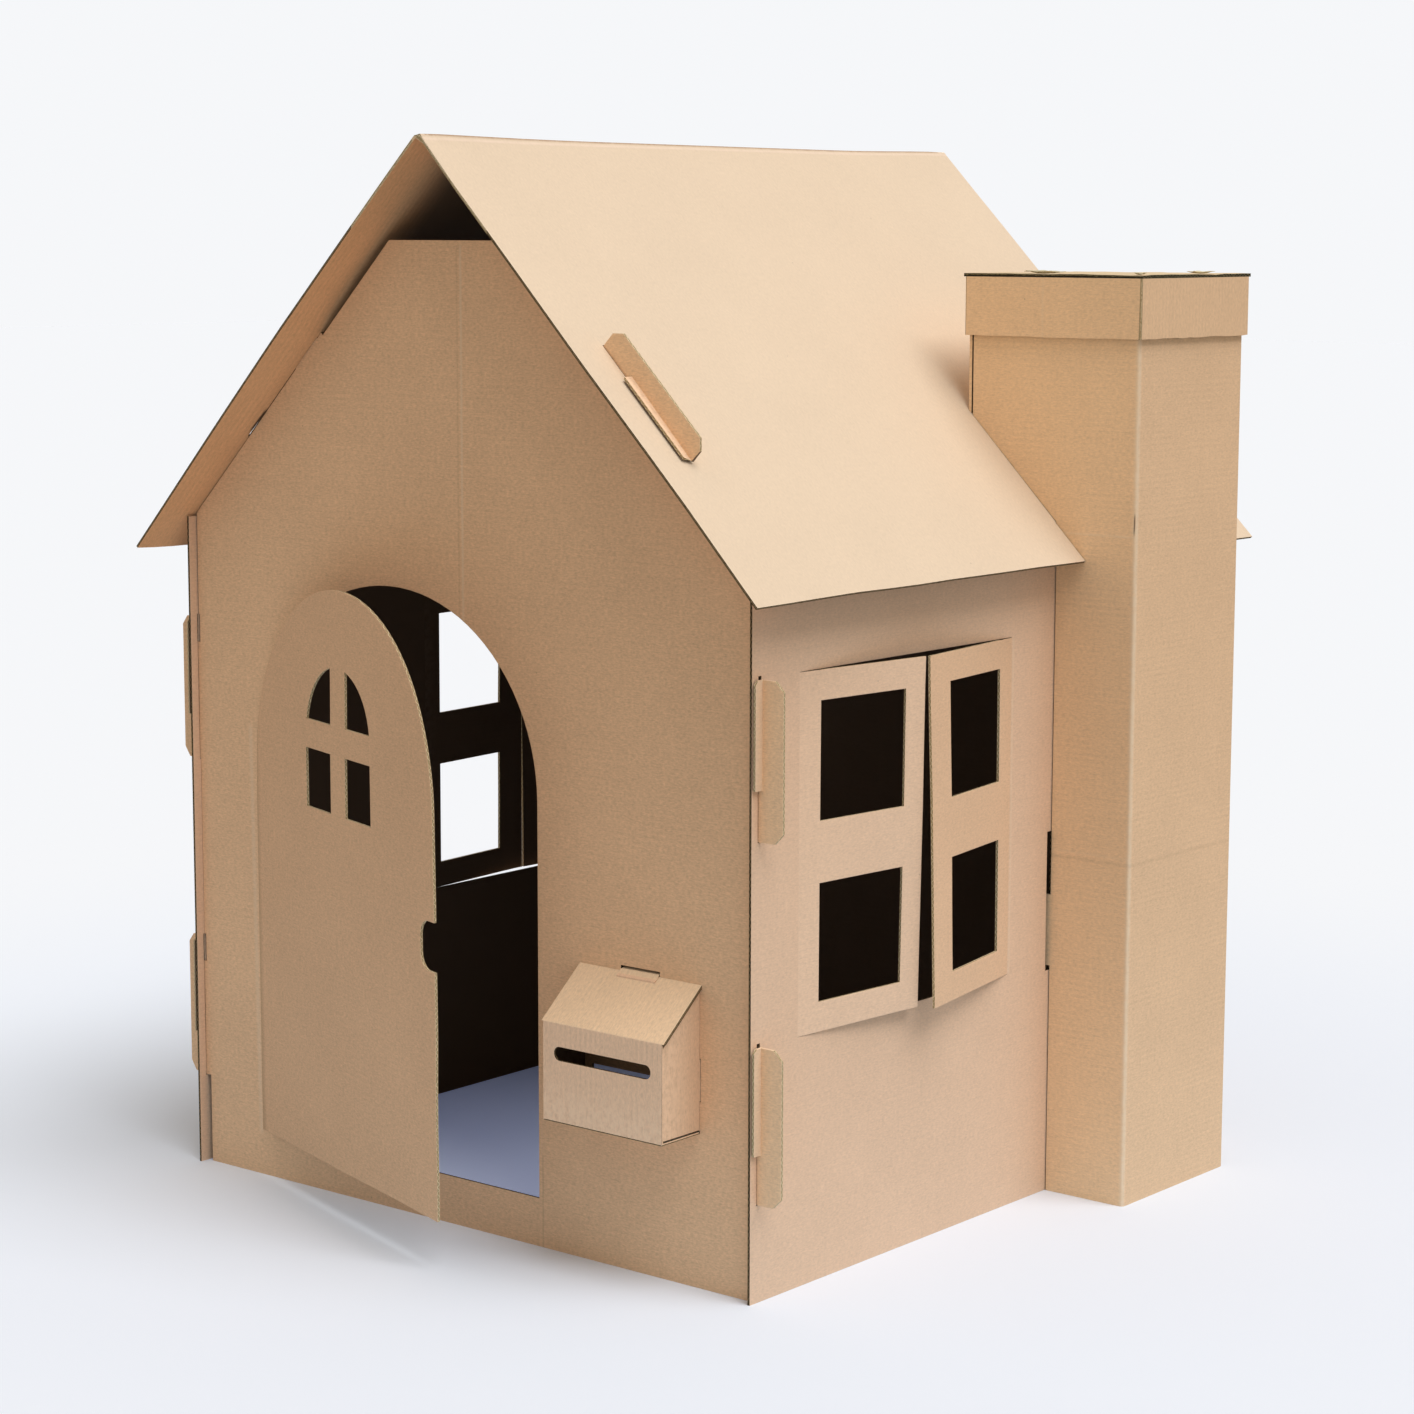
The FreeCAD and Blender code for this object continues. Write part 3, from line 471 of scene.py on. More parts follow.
def applyModifier(piece, name, kind, **settings):
    modifier = piece.modifiers.new(name, kind)
    for key, value in settings.items():
        setattr(modifier, key, value)
    bpy.ops.object.modifier_apply(modifier=modifier.name)


def selectFaces(piece, wanted):
    # wanted: a test of a face's middle and normal
    mesh = bmesh.from_edit_mesh(piece.data)
    for face in mesh.faces:
        face.select_set(False)
    for face in mesh.faces:
        if wanted(face.calc_center_median(), face.normal):
            face.select_set(True)
    bmesh.update_edit_mesh(piece.data)


def startSheet(node):
    # A merged copy of the frame's sheet, ready to be shaped.
    piece = bpy.data.objects.new(node + "Board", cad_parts[node].data.copy())
    bpy.context.scene.collection.objects.link(piece)
    piece.data.materials.clear()
    selectOnly(piece)
    bpy.ops.object.mode_set(mode="EDIT")
    bpy.context.tool_settings.mesh_select_mode = (False, False, True)
    bpy.ops.mesh.select_all(action="SELECT")
    bpy.ops.mesh.customdata_custom_splitnormals_clear()
    bpy.ops.mesh.remove_doubles(threshold=board["merge"])
    bpy.ops.mesh.dissolve_limited(angle_limit=board["even"])
    return piece


def steps(low, high, step):
    count = max(1, round((high - low) / step))
    return [low + (high - low) * index / count for index in range(1, count)]


def cutAt(piece, wanted, normal, places):
    # Cuts the board's faces along planes, each given by a point or a distance, so that it can bow there.
    for place in places:
        selectFaces(piece, lambda middle, facing: wanted(middle))
        point = Vector(normal) * place if isinstance(place, float) else place
        bpy.ops.mesh.bisect(plane_co=point, plane_no=normal)


def pressRims(piece, panels, signs=(1, -1)):
    # The knife presses a narrow band down along every cut, outside (1), inside (-1) or on both sides.
    half = board["thick"] / 2
    for item in panels:
        item["banded"] = signs
        for sign in signs:
            def isSide(middle, facing):
                depth = (middle - item["origin"]).dot(item["normal"])
                flat = facing.dot(item["normal"]) * sign > board["level"]
                return flat and abs(depth - sign * half) < board["slack"]
            selectFaces(piece, isSide)
            bpy.ops.mesh.inset(thickness=board["rim"], depth=0, use_even_offset=True, use_boundary=True)


def newMap(mesh):
    while mesh.uv_layers:
        mesh.uv_layers.remove(mesh.uv_layers[0])
    return mesh.uv_layers.new(name="sheet")


def finishSheet(piece, panels, liners, bow=None, darkInside=False, pressed=True):
    # Lays the sheet's map, marks the rims, bows the board and gives it its paper.
    bpy.ops.mesh.select_all(action="DESELECT")
    bpy.ops.object.mode_set(mode="OBJECT")
    mesh = piece.data
    papers = dict(liners)
    papers.update(cutMaterials)
    papers["room"] = roomShadePaper
    order = []
    sheetMap = newMap(mesh)
    rim = mesh.attributes.new("rim", "FLOAT", "POINT")
    onCut = set()
    onLiner = {}
    for face in mesh.polygons:
        item, isCut = panelOf(panels, face.center, face.normal)
        inward = face.normal.dot(item["normal"]) < -0.9
        if isCut:
            atRidge = item["cut"] == "rakeCut" and face.center.z > roof["paleAbove"]
            pale = onTab(face.center) if "tabs" in item else atRidge
            paper = "paleCut" if pale else item["cut"]
        elif "tabs" in item and face.center.x > gable["paleFrom"] and onTab(face.center):
            paper = "tab"
        elif "tabs" in item and onTab(face.center):
            paper = item["liner"]
        # inward faces inside the house get the painted shade of the room; on the closed boxes all inward
        # faces do
        elif inward and (darkInside or ("fades" not in item and inRoom(face.center))):
            paper = "room"
        elif inward and "back" in item:
            paper = item["back"]
        else:
            paper = item["liner"]
        if paper not in order:
            order.append(paper)
            mesh.materials.append(papers[paper])
        face.material_index = order.index(paper)
        axes = ("across", "normal") if isCut else ("flute", "across")
        for corner in face.loop_indices:
            place = mesh.vertices[mesh.loops[corner].vertex_index].co - item["origin"]
            sheetMap.data[corner].uv = [place.dot(item[axis]) for axis in axes]
        for vertex in face.vertices:
            if isCut:
                onCut.add(vertex)
            elif (-1 if inward else 1) in item.get("banded", ()):
                onLiner.setdefault(vertex, []).append(face.normal.copy())
    for vertex in mesh.vertices:
        rim.data[vertex.index].value = 1.0 if pressed and vertex.index in onCut else 0.0
        moved = Vector()
        if pressed and vertex.index in onCut and vertex.index in onLiner:
            for facing in onLiner[vertex.index]:
                moved -= facing * board["crush"] / len(onLiner[vertex.index])
        if bow:
            moved += bow(vertex.co.copy())
        vertex.co += moved
    mesh.update()
    selectOnly(piece)
    bpy.ops.object.shade_smooth_by_angle(angle=board["smooth"])
    # the broad flats keep their own shading right up to the pressed bands
    applyModifier(piece, "flat", "WEIGHTED_NORMAL", weight=100, keep_sharp=True)
    return piece


def ripple(place, size, reach=7.0):
    # slow unevenness of a free board
    return size * noise.noise(Vector(place) * reach)


def ease(value, low, high):
    share = min(1.0, max(0.0, (value - low) / (high - low)))
    return share * share * (3 - 2 * share)


def along(table, value):
    # a value read from a short table of places and sizes, with straight runs between
    for (low, first), (high, second) in zip(table, table[1:]):
        if value <= high:
            return first + (second - first) * max(0.0, value - low) / (high - low)
    return table[-1][1]


gable = {
    "side": 0.469,  # outer face of a side wall
    "ridge": 1.33422,  # where the roof's two slopes meet
    "lift": 0.0035,  # a folded tab's strip stands this far off the board that it holds
    "tabLine": 0.4696,
    "clear": 0.001,
    "eaves": 0.8,
    "paleFrom": 0.2,  # the tabs right of here get the paler tab tint: painted light on the lit side
}
door = {
    "crease": -0.358,
    "width": 0.4884,
    "open": math.radians(18.15),
    "sill": 0.0605,
    "top": 0.7918,
    "panes": {"across": (0.148, 0.2185, 0.259, 0.328), "up": (0.512, 0.587, 0.623)},
    "bends": [0.05, 0.10, 0.375, 0.43],  # more places across the leaf where it can bow
    "lowStep": 0.06,
    "highStep": 0.05,
    "curl": 0.0025,  # how far the free edge curls out, and between which heights
    "curlRise": (0.40, 0.56),
    "curlFall": (0.60, 0.75),
    "ripple": 0.0014,
    "start": 0.004,  # the fold itself keeps its place
}
leftEdge = {
    "inner": -0.4630, "outer": -0.4660, "tabs": -0.4700,  # where the edge and its tabs begin and end
    "lean": 0.25,
    "gap": 0.0012, "gapFrom": 0.728,
    "tongue": -0.0026, "necks": ((0.1765, 0.2720), (0.6005, 0.6960)),
}
hook = {"tip": (0.3700, 0, 0.9682), "reach": 0.0031}


def tabFeet():
    # the strips that fold down from the tabs over the side walls and the roof's slopes
    feet = []
    for side in (1, -1):
        origin = (side * (gable["side"] + gable["lift"]), 0, 0)
        feet.append(panel((side, 0, 0), (0, 1, 0), origin, "foot", "paleCut"))
    for side in (1, -1):
        normal = Vector((side, 0, 1)).normalized()
        origin = Vector((0, 0, gable["ridge"])) + normal * gable["lift"]
        feet.append(panel(normal, (0, 1, 0), origin, "foot", "paleCut"))
    for foot in feet:
        foot["back"] = "room"
    return feet


def gableLiners(name, marks=()):
    return {
        name: linerMaterial(name, tints["gable"], 0.6, 1.5, 0.7, marks),
        "foot": linerMaterial(name + "Foot", tints["foot"], 0.3, 1.0, 0.5),
        "tab": linerMaterial(name + "Tab", tints["tab"], 0.3, 1.4, 0.6),
    }


def frontEdge(place):
    # The left edge of the wall stands off its neighbour, and leans into the slots above the tabs' necks.
    if place.x < leftEdge["tabs"]:
        # the tabs that come out on the left lie back
        return Vector((0, leftEdge["lean"] * (leftEdge["tabs"] - place.x), 0))
    if leftEdge["outer"] < place.x <= leftEdge["inner"]:
        if any(low < place.z < high for low, high in leftEdge["necks"]):
            return Vector((leftEdge["tongue"], 0, 0))
        if place.z > leftEdge["gapFrom"]:
            return Vector((leftEdge["gap"], 0, 0))
    return Vector()


def cutTabs(piece, onWall):
    # The tabs outside the roof and the side walls have a paper of their own, so they get their own faces.
    for side in (1, -1):
        cutAt(piece, onWall, (side, 0, 0), [gable["tabLine"]])
        cutAt(piece, onWall, (side, 0, 1), [Vector((0, 0, gable["ridge"] + gable["clear"]))])


def closeHooks(middle):
    # The hooks under the roof tabs' lower ends are narrower than the pressed band, and are crushed away.
    bpy.context.tool_settings.mesh_select_mode = (True, False, False)
    tip = Vector(hook["tip"])
    for side in (1, -1):
        for out in (1, -1):
            bpy.ops.mesh.select_all(action="DESELECT")
            mesh = bmesh.from_edit_mesh(bpy.context.object.data)
            for vertex in mesh.verts:
                reach = Vector((vertex.co.x * side, 0, vertex.co.z)) - tip
                if reach.length < hook["reach"] and (vertex.co.y - middle) * out > 0:
                    vertex.select_set(True)
            bmesh.update_edit_mesh(bpy.context.object.data)
            bpy.ops.mesh.merge(type="CENTER")
    bpy.context.tool_settings.mesh_select_mode = (False, False, True)


def makeFrontWall():
    piece = startSheet("front_wall")
    leaf = panel(
        (-math.sin(door["open"]), -math.cos(door["open"]), 0),
        (math.cos(door["open"]), -math.sin(door["open"]), 0),
        (door["crease"], 0, 0), "leaf", "paleCut")
    wall = panel((0, -1, 0), (1, 0, 0), liner="frontLiner")
    wall["tabs"] = True
    panels = [wall, leaf] + tabFeet()

    def leafPlace(place):
        away = place - leaf["origin"]
        return away.dot(leaf["flute"]), away.dot(leaf["normal"])

    def onLeaf(middle):
        reach, out = leafPlace(middle)
        return abs(out) < board["leafNear"] and -0.0005 < reach < door["width"] and middle.z > door["sill"]

    closeHooks(0.0)
    cutTabs(piece, lambda middle: abs(middle.y) < board["near"])
    up = door["panes"]["up"]
    cutAt(piece, onLeaf, (0, 0, 1), list(up) + steps(door["sill"], up[0], door["lowStep"])
          + steps(up[-1], door["top"], door["highStep"]))
    across = list(door["panes"]["across"]) + door["bends"]
    cutAt(piece, onLeaf, leaf["flute"], [leaf["origin"] + leaf["flute"] * reach for reach in across])
    pressRims(piece, panels)

    def bow(place):
        reach, out = leafPlace(place)
        offLeaf = abs(out) > board["bowNear"] or not door["start"] <= reach < door["width"] + board["thick"]
        if offLeaf or place.z < door["sill"]:
            return frontEdge(place)
        free = ease(reach, 0, door["width"])
        curl = door["curl"] * ease(place.z, *door["curlRise"]) * (1 - ease(place.z, *door["curlFall"])) * free
        return leaf["normal"] * (curl + ripple(place, door["ripple"]) * ease(reach, 0, 0.15))

    marks = [
        # painted highlight and painted shade on the two sides of the gable's pressed score
        mark("u", 0.0112, 0.0032, 0.740, 1.214, light, 0.50, 0.0001, 0.0, 0.1),
        mark("u", 0.0050, 0.0026, 0.740, 1.214, dark, 0.14),
        # painted shade along a faint crease below the door's right jamb
        mark("u", 0.137, 0.0022, -0.1, 0.122, dark, 0.25),
        # painted highlight on the wall beside the door's rounded fold, leaning with it
        mark("u", -0.3610, 0.0060, 0.050, 0.600, light, 0.34, 0.0002, -0.014, 0.1),
    ]
    liners = gableLiners("frontLiner", marks)
    # the leaf carries painted shade beside its fold
    liners["leaf"] = linerMaterial("leafLiner", tints["leaf"], 0.5, 1.4, 0.6, [
        mark("u", 0.0020, 0.0140, 0.050, 0.620, dark, 0.30, 0.0, -0.010, 0.0)])
    return finishSheet(piece, panels, liners, bow)


backWall = {
    "levels": [0.10, 0.35, 0.45, 0.78, 0.86, 0.94, 1.02, 1.10],
    "places": [-0.30, -0.15, 0.0, 0.15, 0.30],
}


def makeBackWall():
    piece = startSheet("back_wall")
    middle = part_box("back_wall")[0].y + board["thick"] / 2
    wall = panel((0, 1, 0), (1, 0, 0), (0, middle, 0), "backLiner")
    wall["tabs"] = True
    panels = [wall] + tabFeet()
    closeHooks(middle)

    def onWall(place):
        return abs(place.y - middle) < board["near"]

    cutTabs(piece, onWall)
    cutAt(piece, onWall, (0, 0, 1), backWall["levels"])
    cutAt(piece, onWall, (1, 0, 0), backWall["places"])
    pressRims(piece, panels)
    return finishSheet(piece, panels, gableLiners("backLiner"))


shutters = {
    "near": {"hinge": 0.0730, "panes": (0.0355, 0.1800)},
    "far": {"hinge": 0.5006, "panes": (0.0310, 0.1630)},
    "width": 0.2138,
    "sill": 0.3006,
    "head": 0.7281,
    "bars": (0.3366, 0.47785, 0.55085, 0.6921),
    "depth": 0.919,  # front wall to back wall, middle to middle
    "bend": 0.07,
    "paneBend": 0.05,
    "start": 0.003,
    "still": 0.004,  # next to its fold a leaf keeps its place
    "ripple": 0.0010,
    "shy": 0.0006,  # the left pair is cut back by this, so that it just clears
    "edge": 0.001,
    "past": 0.002,  # the corners of a slanting free edge lie up to this far past the leaf's width
}
# how far each leaf is open, and how much further out the head of its free edge is than the foot
leaves = {
    "right_wall": {"near": (math.radians(5.8), 0.0078), "far": (math.radians(9.2), -0.0110)},
    "left_wall": {"near": (math.radians(4.0), 0.004), "far": (math.radians(3.5), -0.005)},
}
# the left wall's front slots close up behind the necks of the tabs that they hold
leftSlots = {
    "reach": 0.02,
    "levels": [0.1800, 0.1860, 0.6040, 0.6100],
    "spans": ((0.1850, 0.3085), (0.6090, 0.7320)),
    "farSide": (0.0020, 0.0035), "farMove": -0.0044,
    "nearSide": (-0.0004, 0.0004), "nearMove": -0.0019,
}


def makeSideWall(node, side, name, marks):
    piece = startSheet(node)
    middle = side * (gable["side"] - board["thick"] / 2)
    leafPanels = {}
    for part in ("near", "far"):
        way = 1 if part == "near" else -1
        hinge = shutters[part]["hinge"]
        if side < 0:
            hinge = shutters["depth"] - hinge
            way = -way
        angle = leaves[node][part][0]
        flute = Vector((side * math.sin(angle), way * math.cos(angle), 0))
        normal = Vector((side * math.cos(angle), -way * math.sin(angle), 0))
        leafPanels[part] = panel(normal, flute, (middle, hinge, 0), part, "paleCut")
        leafPanels[part]["back"] = "room"
    wall = panel((side, 0, 0), (0, 1, 0), (middle, 0, 0), name)
    wall["back"] = "inner"
    wall["fades"] = True
    panels = [wall] + list(leafPanels.values())
    cutAt(piece, everywhere, (0, 1, 0), [room["front"], room["back"]])
    if side < 0:
        cutAt(piece, lambda middle: middle.y < leftSlots["reach"], (0, 0, 1), leftSlots["levels"])
    bars = shutters["bars"]
    width = shutters["width"]
    for part, item in leafPanels.items():
        def onLeaf(place):
            away = place - item["origin"]
            offMiddle = abs(away.dot(item["normal"]))
            return offMiddle < board["leafNear"] and shutters["start"] < away.dot(item["flute"]) < width
        low, high = [steps(*pair, shutters["bend"]) for pair in (bars[:2], bars[2:])]
        cutAt(piece, onLeaf, (0, 0, 1), list(bars) + low + high)
        low, high = shutters[part]["panes"]
        reaches = [low, high] + steps(low, high, shutters["paneBend"])
        cutAt(piece, onLeaf, item["flute"], [item["origin"] + item["flute"] * reach for reach in reaches])
    pressRims(piece, panels)

    def bow(place):
        edge = shutters["edge"]
        height = shutters["head"] - shutters["sill"]
        up = place.z - shutters["sill"]
        for part, item in leafPanels.items():
            away = place - item["origin"]
            reach = away.dot(item["flute"])
            onLeaf = abs(away.dot(item["normal"])) < board["bowNear"] and -edge < up < height + edge
            if onLeaf and shutters["still"] < reach < width + shutters["past"]:
                twist = leaves[node][part][1] * (up / height - 0.5) * reach / width
                wavy = ripple(place, shutters["ripple"]) * ease(reach, 0, 0.2)
                shy = shutters["shy"] if side < 0 and reach > width - shutters["shy"] else 0.0
                return item["normal"] * (twist + wavy) - item["flute"] * shy
        if side < 0 and any(low < place.z < high for low, high in leftSlots["spans"]):
            for face, move in (("farSide", "farMove"), ("nearSide", "nearMove")):
                if leftSlots[face][0] < place.y < leftSlots[face][1]:
                    return Vector((0, leftSlots[move], 0))
        return Vector()

    liners = {
        name: linerMaterial(name, tints["side"], 0.35, 1.0, 0.6, marks),
        "near": linerMaterial(name + "Near", tints["shutter"], 0.35, 1.0, 0.5),
        "far": linerMaterial(name + "Far", tints["farShutter"], 0.35, 1.0, 0.5),
        # the wall's inner face fades into the painted room shade
        "inner": linerMaterial(name + "Inner", tints["side"], 0.5, 1.0, 0.5, [], room["sideFade"]),
    }
    return finishSheet(piece, panels, liners, bow)


roof = {
    "eave": 0.515, "front": -0.059, "back": 0.996,
    "paleAbove": 1.24,  # the rakes' cut edges are paler from here up to the ridge
    "ridgeBend": 0.006,
    "bend": 0.05,
    "slotEnds": [0.232, 0.276, 0.280, 0.332, 0.337, 0.374],
    "frontStep": 0.03, "roomStep": 0.06, "backStep": 0.04,
    # out from the slope at the front edge, from the ridge down to the eave
    "leftRake": [(0.0, 0.0075), (0.06, 0.0085), (0.24, 0.0105), (0.39, 0.0070),
                 (0.50, 0.0036), (0.52, 0.0030)],
    "rightRake": [(0.0, 0.002), (0.25, -0.0015), (0.52, -0.001)],
    "ridgeLift": [(-0.059, 0.0046), (0.24, 0.0026), (0.996, 0.0010)],  # the fold stands up a little
    "hold": 0.17,  # the lift at the front has run out this far back
    "holdTabs": 0.18, "tabsFrom": (0.17, 0.235),  # and sooner where the wall's tabs hold the left slope
    "leftSink": 0.0053,
    "backLift": 0.004, "backFrom": 0.75, "leftBack": 0.3,
    "droop": 0.0025, "eaveRipple": 0.003, "eaveFrom": 0.42,
    "slack": 0.0012,
    "shut": {"y": (-0.0040, -0.0015), "down": (0.2750, 0.3380), "to": -0.0006, "gap": 0.0015},
}


def makeRoof():
    piece = startSheet("roof")
    panels = []
    for side in (1, -1):
        normal = Vector((side, 0, 1)).normalized()
        flute = Vector((side, 0, -1)).normalized()
        origin = Vector((0, 0, gable["ridge"])) - normal * board["thick"] / 2
        item = panel(normal, flute, origin, "roofLiner", "rakeCut")
        item["back"] = "under"
        item["fades"] = True
        panels.append(item)
    front, back = room["front"], room["back"]
    cutAt(piece, everywhere, (0, 1, 0), [front, back] + steps(roof["front"], front, roof["frontStep"])
          + steps(front, back, roof["roomStep"]) + steps(back, roof["back"], roof["backStep"]))
    bends = steps(roof["ridgeBend"], roof["eave"], roof["bend"]) + [roof["ridgeBend"]] + roof["slotEnds"]
    cutAt(piece, everywhere, (1, 0, 0), [down * side for down in bends for side in (1, -1)])
    pressRims(piece, panels)

    def bow(place):
        side = 1 if place.x > 0 else -1
        normal = Vector((side, 0, 1)).normalized()
        down = abs(place.x)
        # the wall's tabs hold the board down, so the lift runs back only near the fold
        held = roof["holdTabs"] * ease(down, *roof["tabsFrom"]) if side < 0 else 0.0
        rakeShare = 1 - ease(place.y, roof["front"], roof["hold"] - held)
        rake = along(roof["leftRake" if side < 0 else "rightRake"], down) * rakeShare
        front = 1 - ease(place.y, roof["front"], roof["hold"])
        lift = along(roof["ridgeLift"], place.y) - (roof["leftSink"] * front if side < 0 else 0.0)
        back = roof["backLift"] * ease(place.y, roof["backFrom"], roof["back"])
        back *= 1 if side > 0 else roof["leftBack"]
        eave = ripple((0, place.y, side), roof["eaveRipple"]) - roof["droop"] * front * (side > 0)
        eave *= ease(down, roof["eaveFrom"], roof["eave"])
        fold = (1 - ease(down, 0.0, 2 * roof["ridgeBend"])) * lift
        slack = ripple(place, roof["slack"], 4.0) * ease(down, 0.02, 0.1) * ease(abs(place.y), 0.01, 0.08)
        shut = 0.0
        slot = roof["shut"]
        if side < 0 and slot["y"][0] < place.y < slot["y"][1] and slot["down"][0] < down < slot["down"][1]:
            shut = slot["to"] - place.y - slot["gap"]  # the slot closes on the wall
        return normal * (rake + back + eave + slack) + Vector((0, shut, fold))

    liners = {
        # the roof's rims are paled more strongly, partly wear and partly a painted highlight along its eaves
        # and the chimney's notch
        "roofLiner": linerMaterial("roofLiner", tints["roof"], 0.12, 0.55, 0.35, [
            # painted shade along the ridge's raised fold, where its far side turns from the light, and a
            # painted highlight on the crest beside it
            mark("u", 0.0020, 0.0036, *endless, ridgeShade, 0.80, 0.0, 0.0, 0.15),
            mark("u", 0.0080, 0.0030, *endless, ridgeHighlight, 0.5, 0.0002, 0.0, 0.3)], wear=0.9),
        # painted shade: the dark of the slot's open end, past the wall's tab on the left slope, is painted
        # onto the underside
        "under": linerMaterial("roofUnder", tints["under"], 1.3, 1.2, 0.7, [
            mark("v", 0.0052, 0.0036, 0.462, 0.512, slotShade, 0.97, -0.0003, 0.0, 0.0)],
            # painted shade: the underside darkens over the room
            room["roofFade"]),
    }
    return finishSheet(piece, panels, liners, bow)


def boxPanels(low, high, front, side, flute, cut="cut"):
    # A box's upright panels: front, back, right and left.
    half = board["thick"] / 2
    return [
        panel((0, -1, 0), (1, 0, 0), (0, low.y + half, 0), front),
        panel((0, 1, 0), (1, 0, 0), (0, high.y - half, 0), front),
        panel((1, 0, 0), flute, (high.x - half, 0, 0), side, cut),
        panel((-1, 0, 0), flute, (low.x + half, 0, 0), side, cut),
    ]


chimney = {
    "bend": 0.09,
    "wallGap": 0.0011, "wallSide": (0.4690, 0.4712), "gapBelow": 0.86,
    "scores": {"tear": 0.852, "low": 0.440, "lowEdge": 0.448},  # levels of the marks round it
}


def makeChimney():
    piece = startSheet("chimney")
    low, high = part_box("chimney")
    panels = boxPanels(low, high, "chimneyFront", "chimneySide", (0, 1, 0))
    cutAt(piece, everywhere, (0, 0, 1), steps(0.0, high.z, chimney["bend"]))
    pressRims(piece, panels[:3], (1,))

    def bow(place):
        # the board stands a little off the side wall
        nearest, furthest = chimney["wallSide"]
        if nearest < place.x < furthest and place.z < chimney["gapBelow"]:
            return Vector((chimney["wallGap"], 0, 0))
        return Vector()

    scores = chimney["scores"]
    frontMarks = [
        # painted highlight down the chimney's folded corner, and the painted shade of a slit in it
        mark("u", high.x - 0.0006, 0.0078, *endless, cornerHighlight, 0.90, 0.0001, 0.0, 0.35),
        mark("u", high.x - 0.0030, 0.0016, 0.850, 0.885, tear, 0.8, -0.0004, 0.0, 0.0),
        # painted highlight and painted shade along the chimney's scores
        mark("v", scores["tear"], 0.0024, *endless, light, 0.50, 0.0001, 0.0, 0.4),
        mark("v", scores["low"], 0.0040, *endless, dark, 0.16, 0.0, 0.0, 0.4),
        mark("v", scores["lowEdge"], 0.0030, *endless, light, 0.18, 0.0, 0.0, 0.4),
    ]
    sideMarks = [
        # painted highlight down the same corner
        mark("u", low.y + 0.0006, 0.0060, *endless, cornerHighlight, 0.80, 0.0001, 0.0, 0.40),
        # painted shade along the low score
        mark("v", scores["low"], 0.0040, *endless, dark, 0.14, 0.0, 0.0, 0.4),
    ]
    liners = {
        "chimneyFront": linerMaterial("chimneyFront", tints["chimneyFront"], 0.75, 1.2, 0.6, frontMarks),
        "chimneySide": linerMaterial("chimneySide", tints["chimneySide"], 0.7, 1.1, 0.6, sideMarks),
    }
    return finishSheet(piece, panels, liners, bow, darkInside=True)


cap = {
    "wave": 0.0014, "flapWave": 55.0, "lidWave": 30.0,
    "flapBend": 0.016, "lidBend": 0.022,
    "waveUp": 0.01,  # over this height the flaps' wave dies away
    "lap": 0.006, "tuck": 0.0006,
    "edge": 0.0005,
}


def makeChimneyCap():
    piece = startSheet("chimney_cap")
    low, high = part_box("chimney_cap")
    panels = [panel((0, 0, 1), (1, 0, 0), (0, 0, high.z - board["thick"] / 2), "capTop", "deepCut")]
    panels += boxPanels(low, high, "capFront", "capSide", (0, 0, 1), "paleCut")
    lidUnder = high.z - board["thick"]
    cutAt(piece, everywhere, (0, 0, 1), [lidUnder])

    def onFlap(middle):
        return middle.z < lidUnder

    def onLid(middle):
        return middle.z > lidUnder

    for wanted, bend in ((onFlap, cap["flapBend"]), (onLid, cap["lidBend"])):
        cutAt(piece, wanted, (1, 0, 0), steps(low.x, high.x, bend))
        cutAt(piece, wanted, (0, 1, 0), steps(low.y, high.y, bend))

    def bow(place):
        moved = Vector()
        flapEdge = 1 - ease(place.z, low.z, low.z + cap["waveUp"])
        moved.z += flapEdge * cap["wave"] * noise.noise(place * cap["flapWave"])
        onRight = place.x > high.x - board["thick"] - cap["edge"]
        onFront = place.y < low.y + board["thick"] + cap["edge"]
        if place.z > lidUnder + cap["edge"]:
            moved.z += cap["wave"] * noise.noise(place * cap["lidWave"])
        elif onRight and low.y + 0.001 < place.y < low.y + cap["lap"]:
            moved.y -= place.y - low.y  # the right flap laps the end of the front one
        elif onFront and place.x > high.x - cap["lap"] and place.z < lidUnder - 0.001:
            moved.x -= cap["tuck"]
        return moved

    # painted highlight along creases of the cap's flaps
    marks = [mark("u", low.x + 0.120, 0.0030, *endless, light, 0.30, 0.0, 0.0, 0.4)]
    sideMarks = [mark("v", -(low.y + 0.178), 0.0030, *endless, light, 0.45, 0.0002, 0.03, 0.3)]
    liners = {
        "capTop": linerMaterial("capTop", tints["lid"], 0.4, 1.4, 0.8),
        "capFront": linerMaterial("capFront", tints["chimneyFront"], 0.35, 1.2, 0.6, marks),
        "capSide": linerMaterial("capSide", tints["chimneySide"], 0.7, 1.0, 0.7, sideMarks),
    }
    return finishSheet(piece, panels, liners, bow, darkInside=True, pressed=False)


mailbox = {
    "mouth": 0.306, "wall": 0.364, "depth": 0.0686,  # the lid's lower and upper level, and how far it runs
    "lap": 0.0025,  # the lid reaches this far past the side boards
    "bottom": 0.01,
    "tab": (0.2615, 0.3235),
    "tabFront": -0.0080, "tabAbove": 0.3665,
    "tabBend": {"above": 0.3580, "behind": -0.0066, "at": -0.0024},
    "tabDip": [(-0.0064, 0.0079), (-0.0024, 0.0030), (0.0100, 0.0)],  # the tab's tip lies down on the lid
}


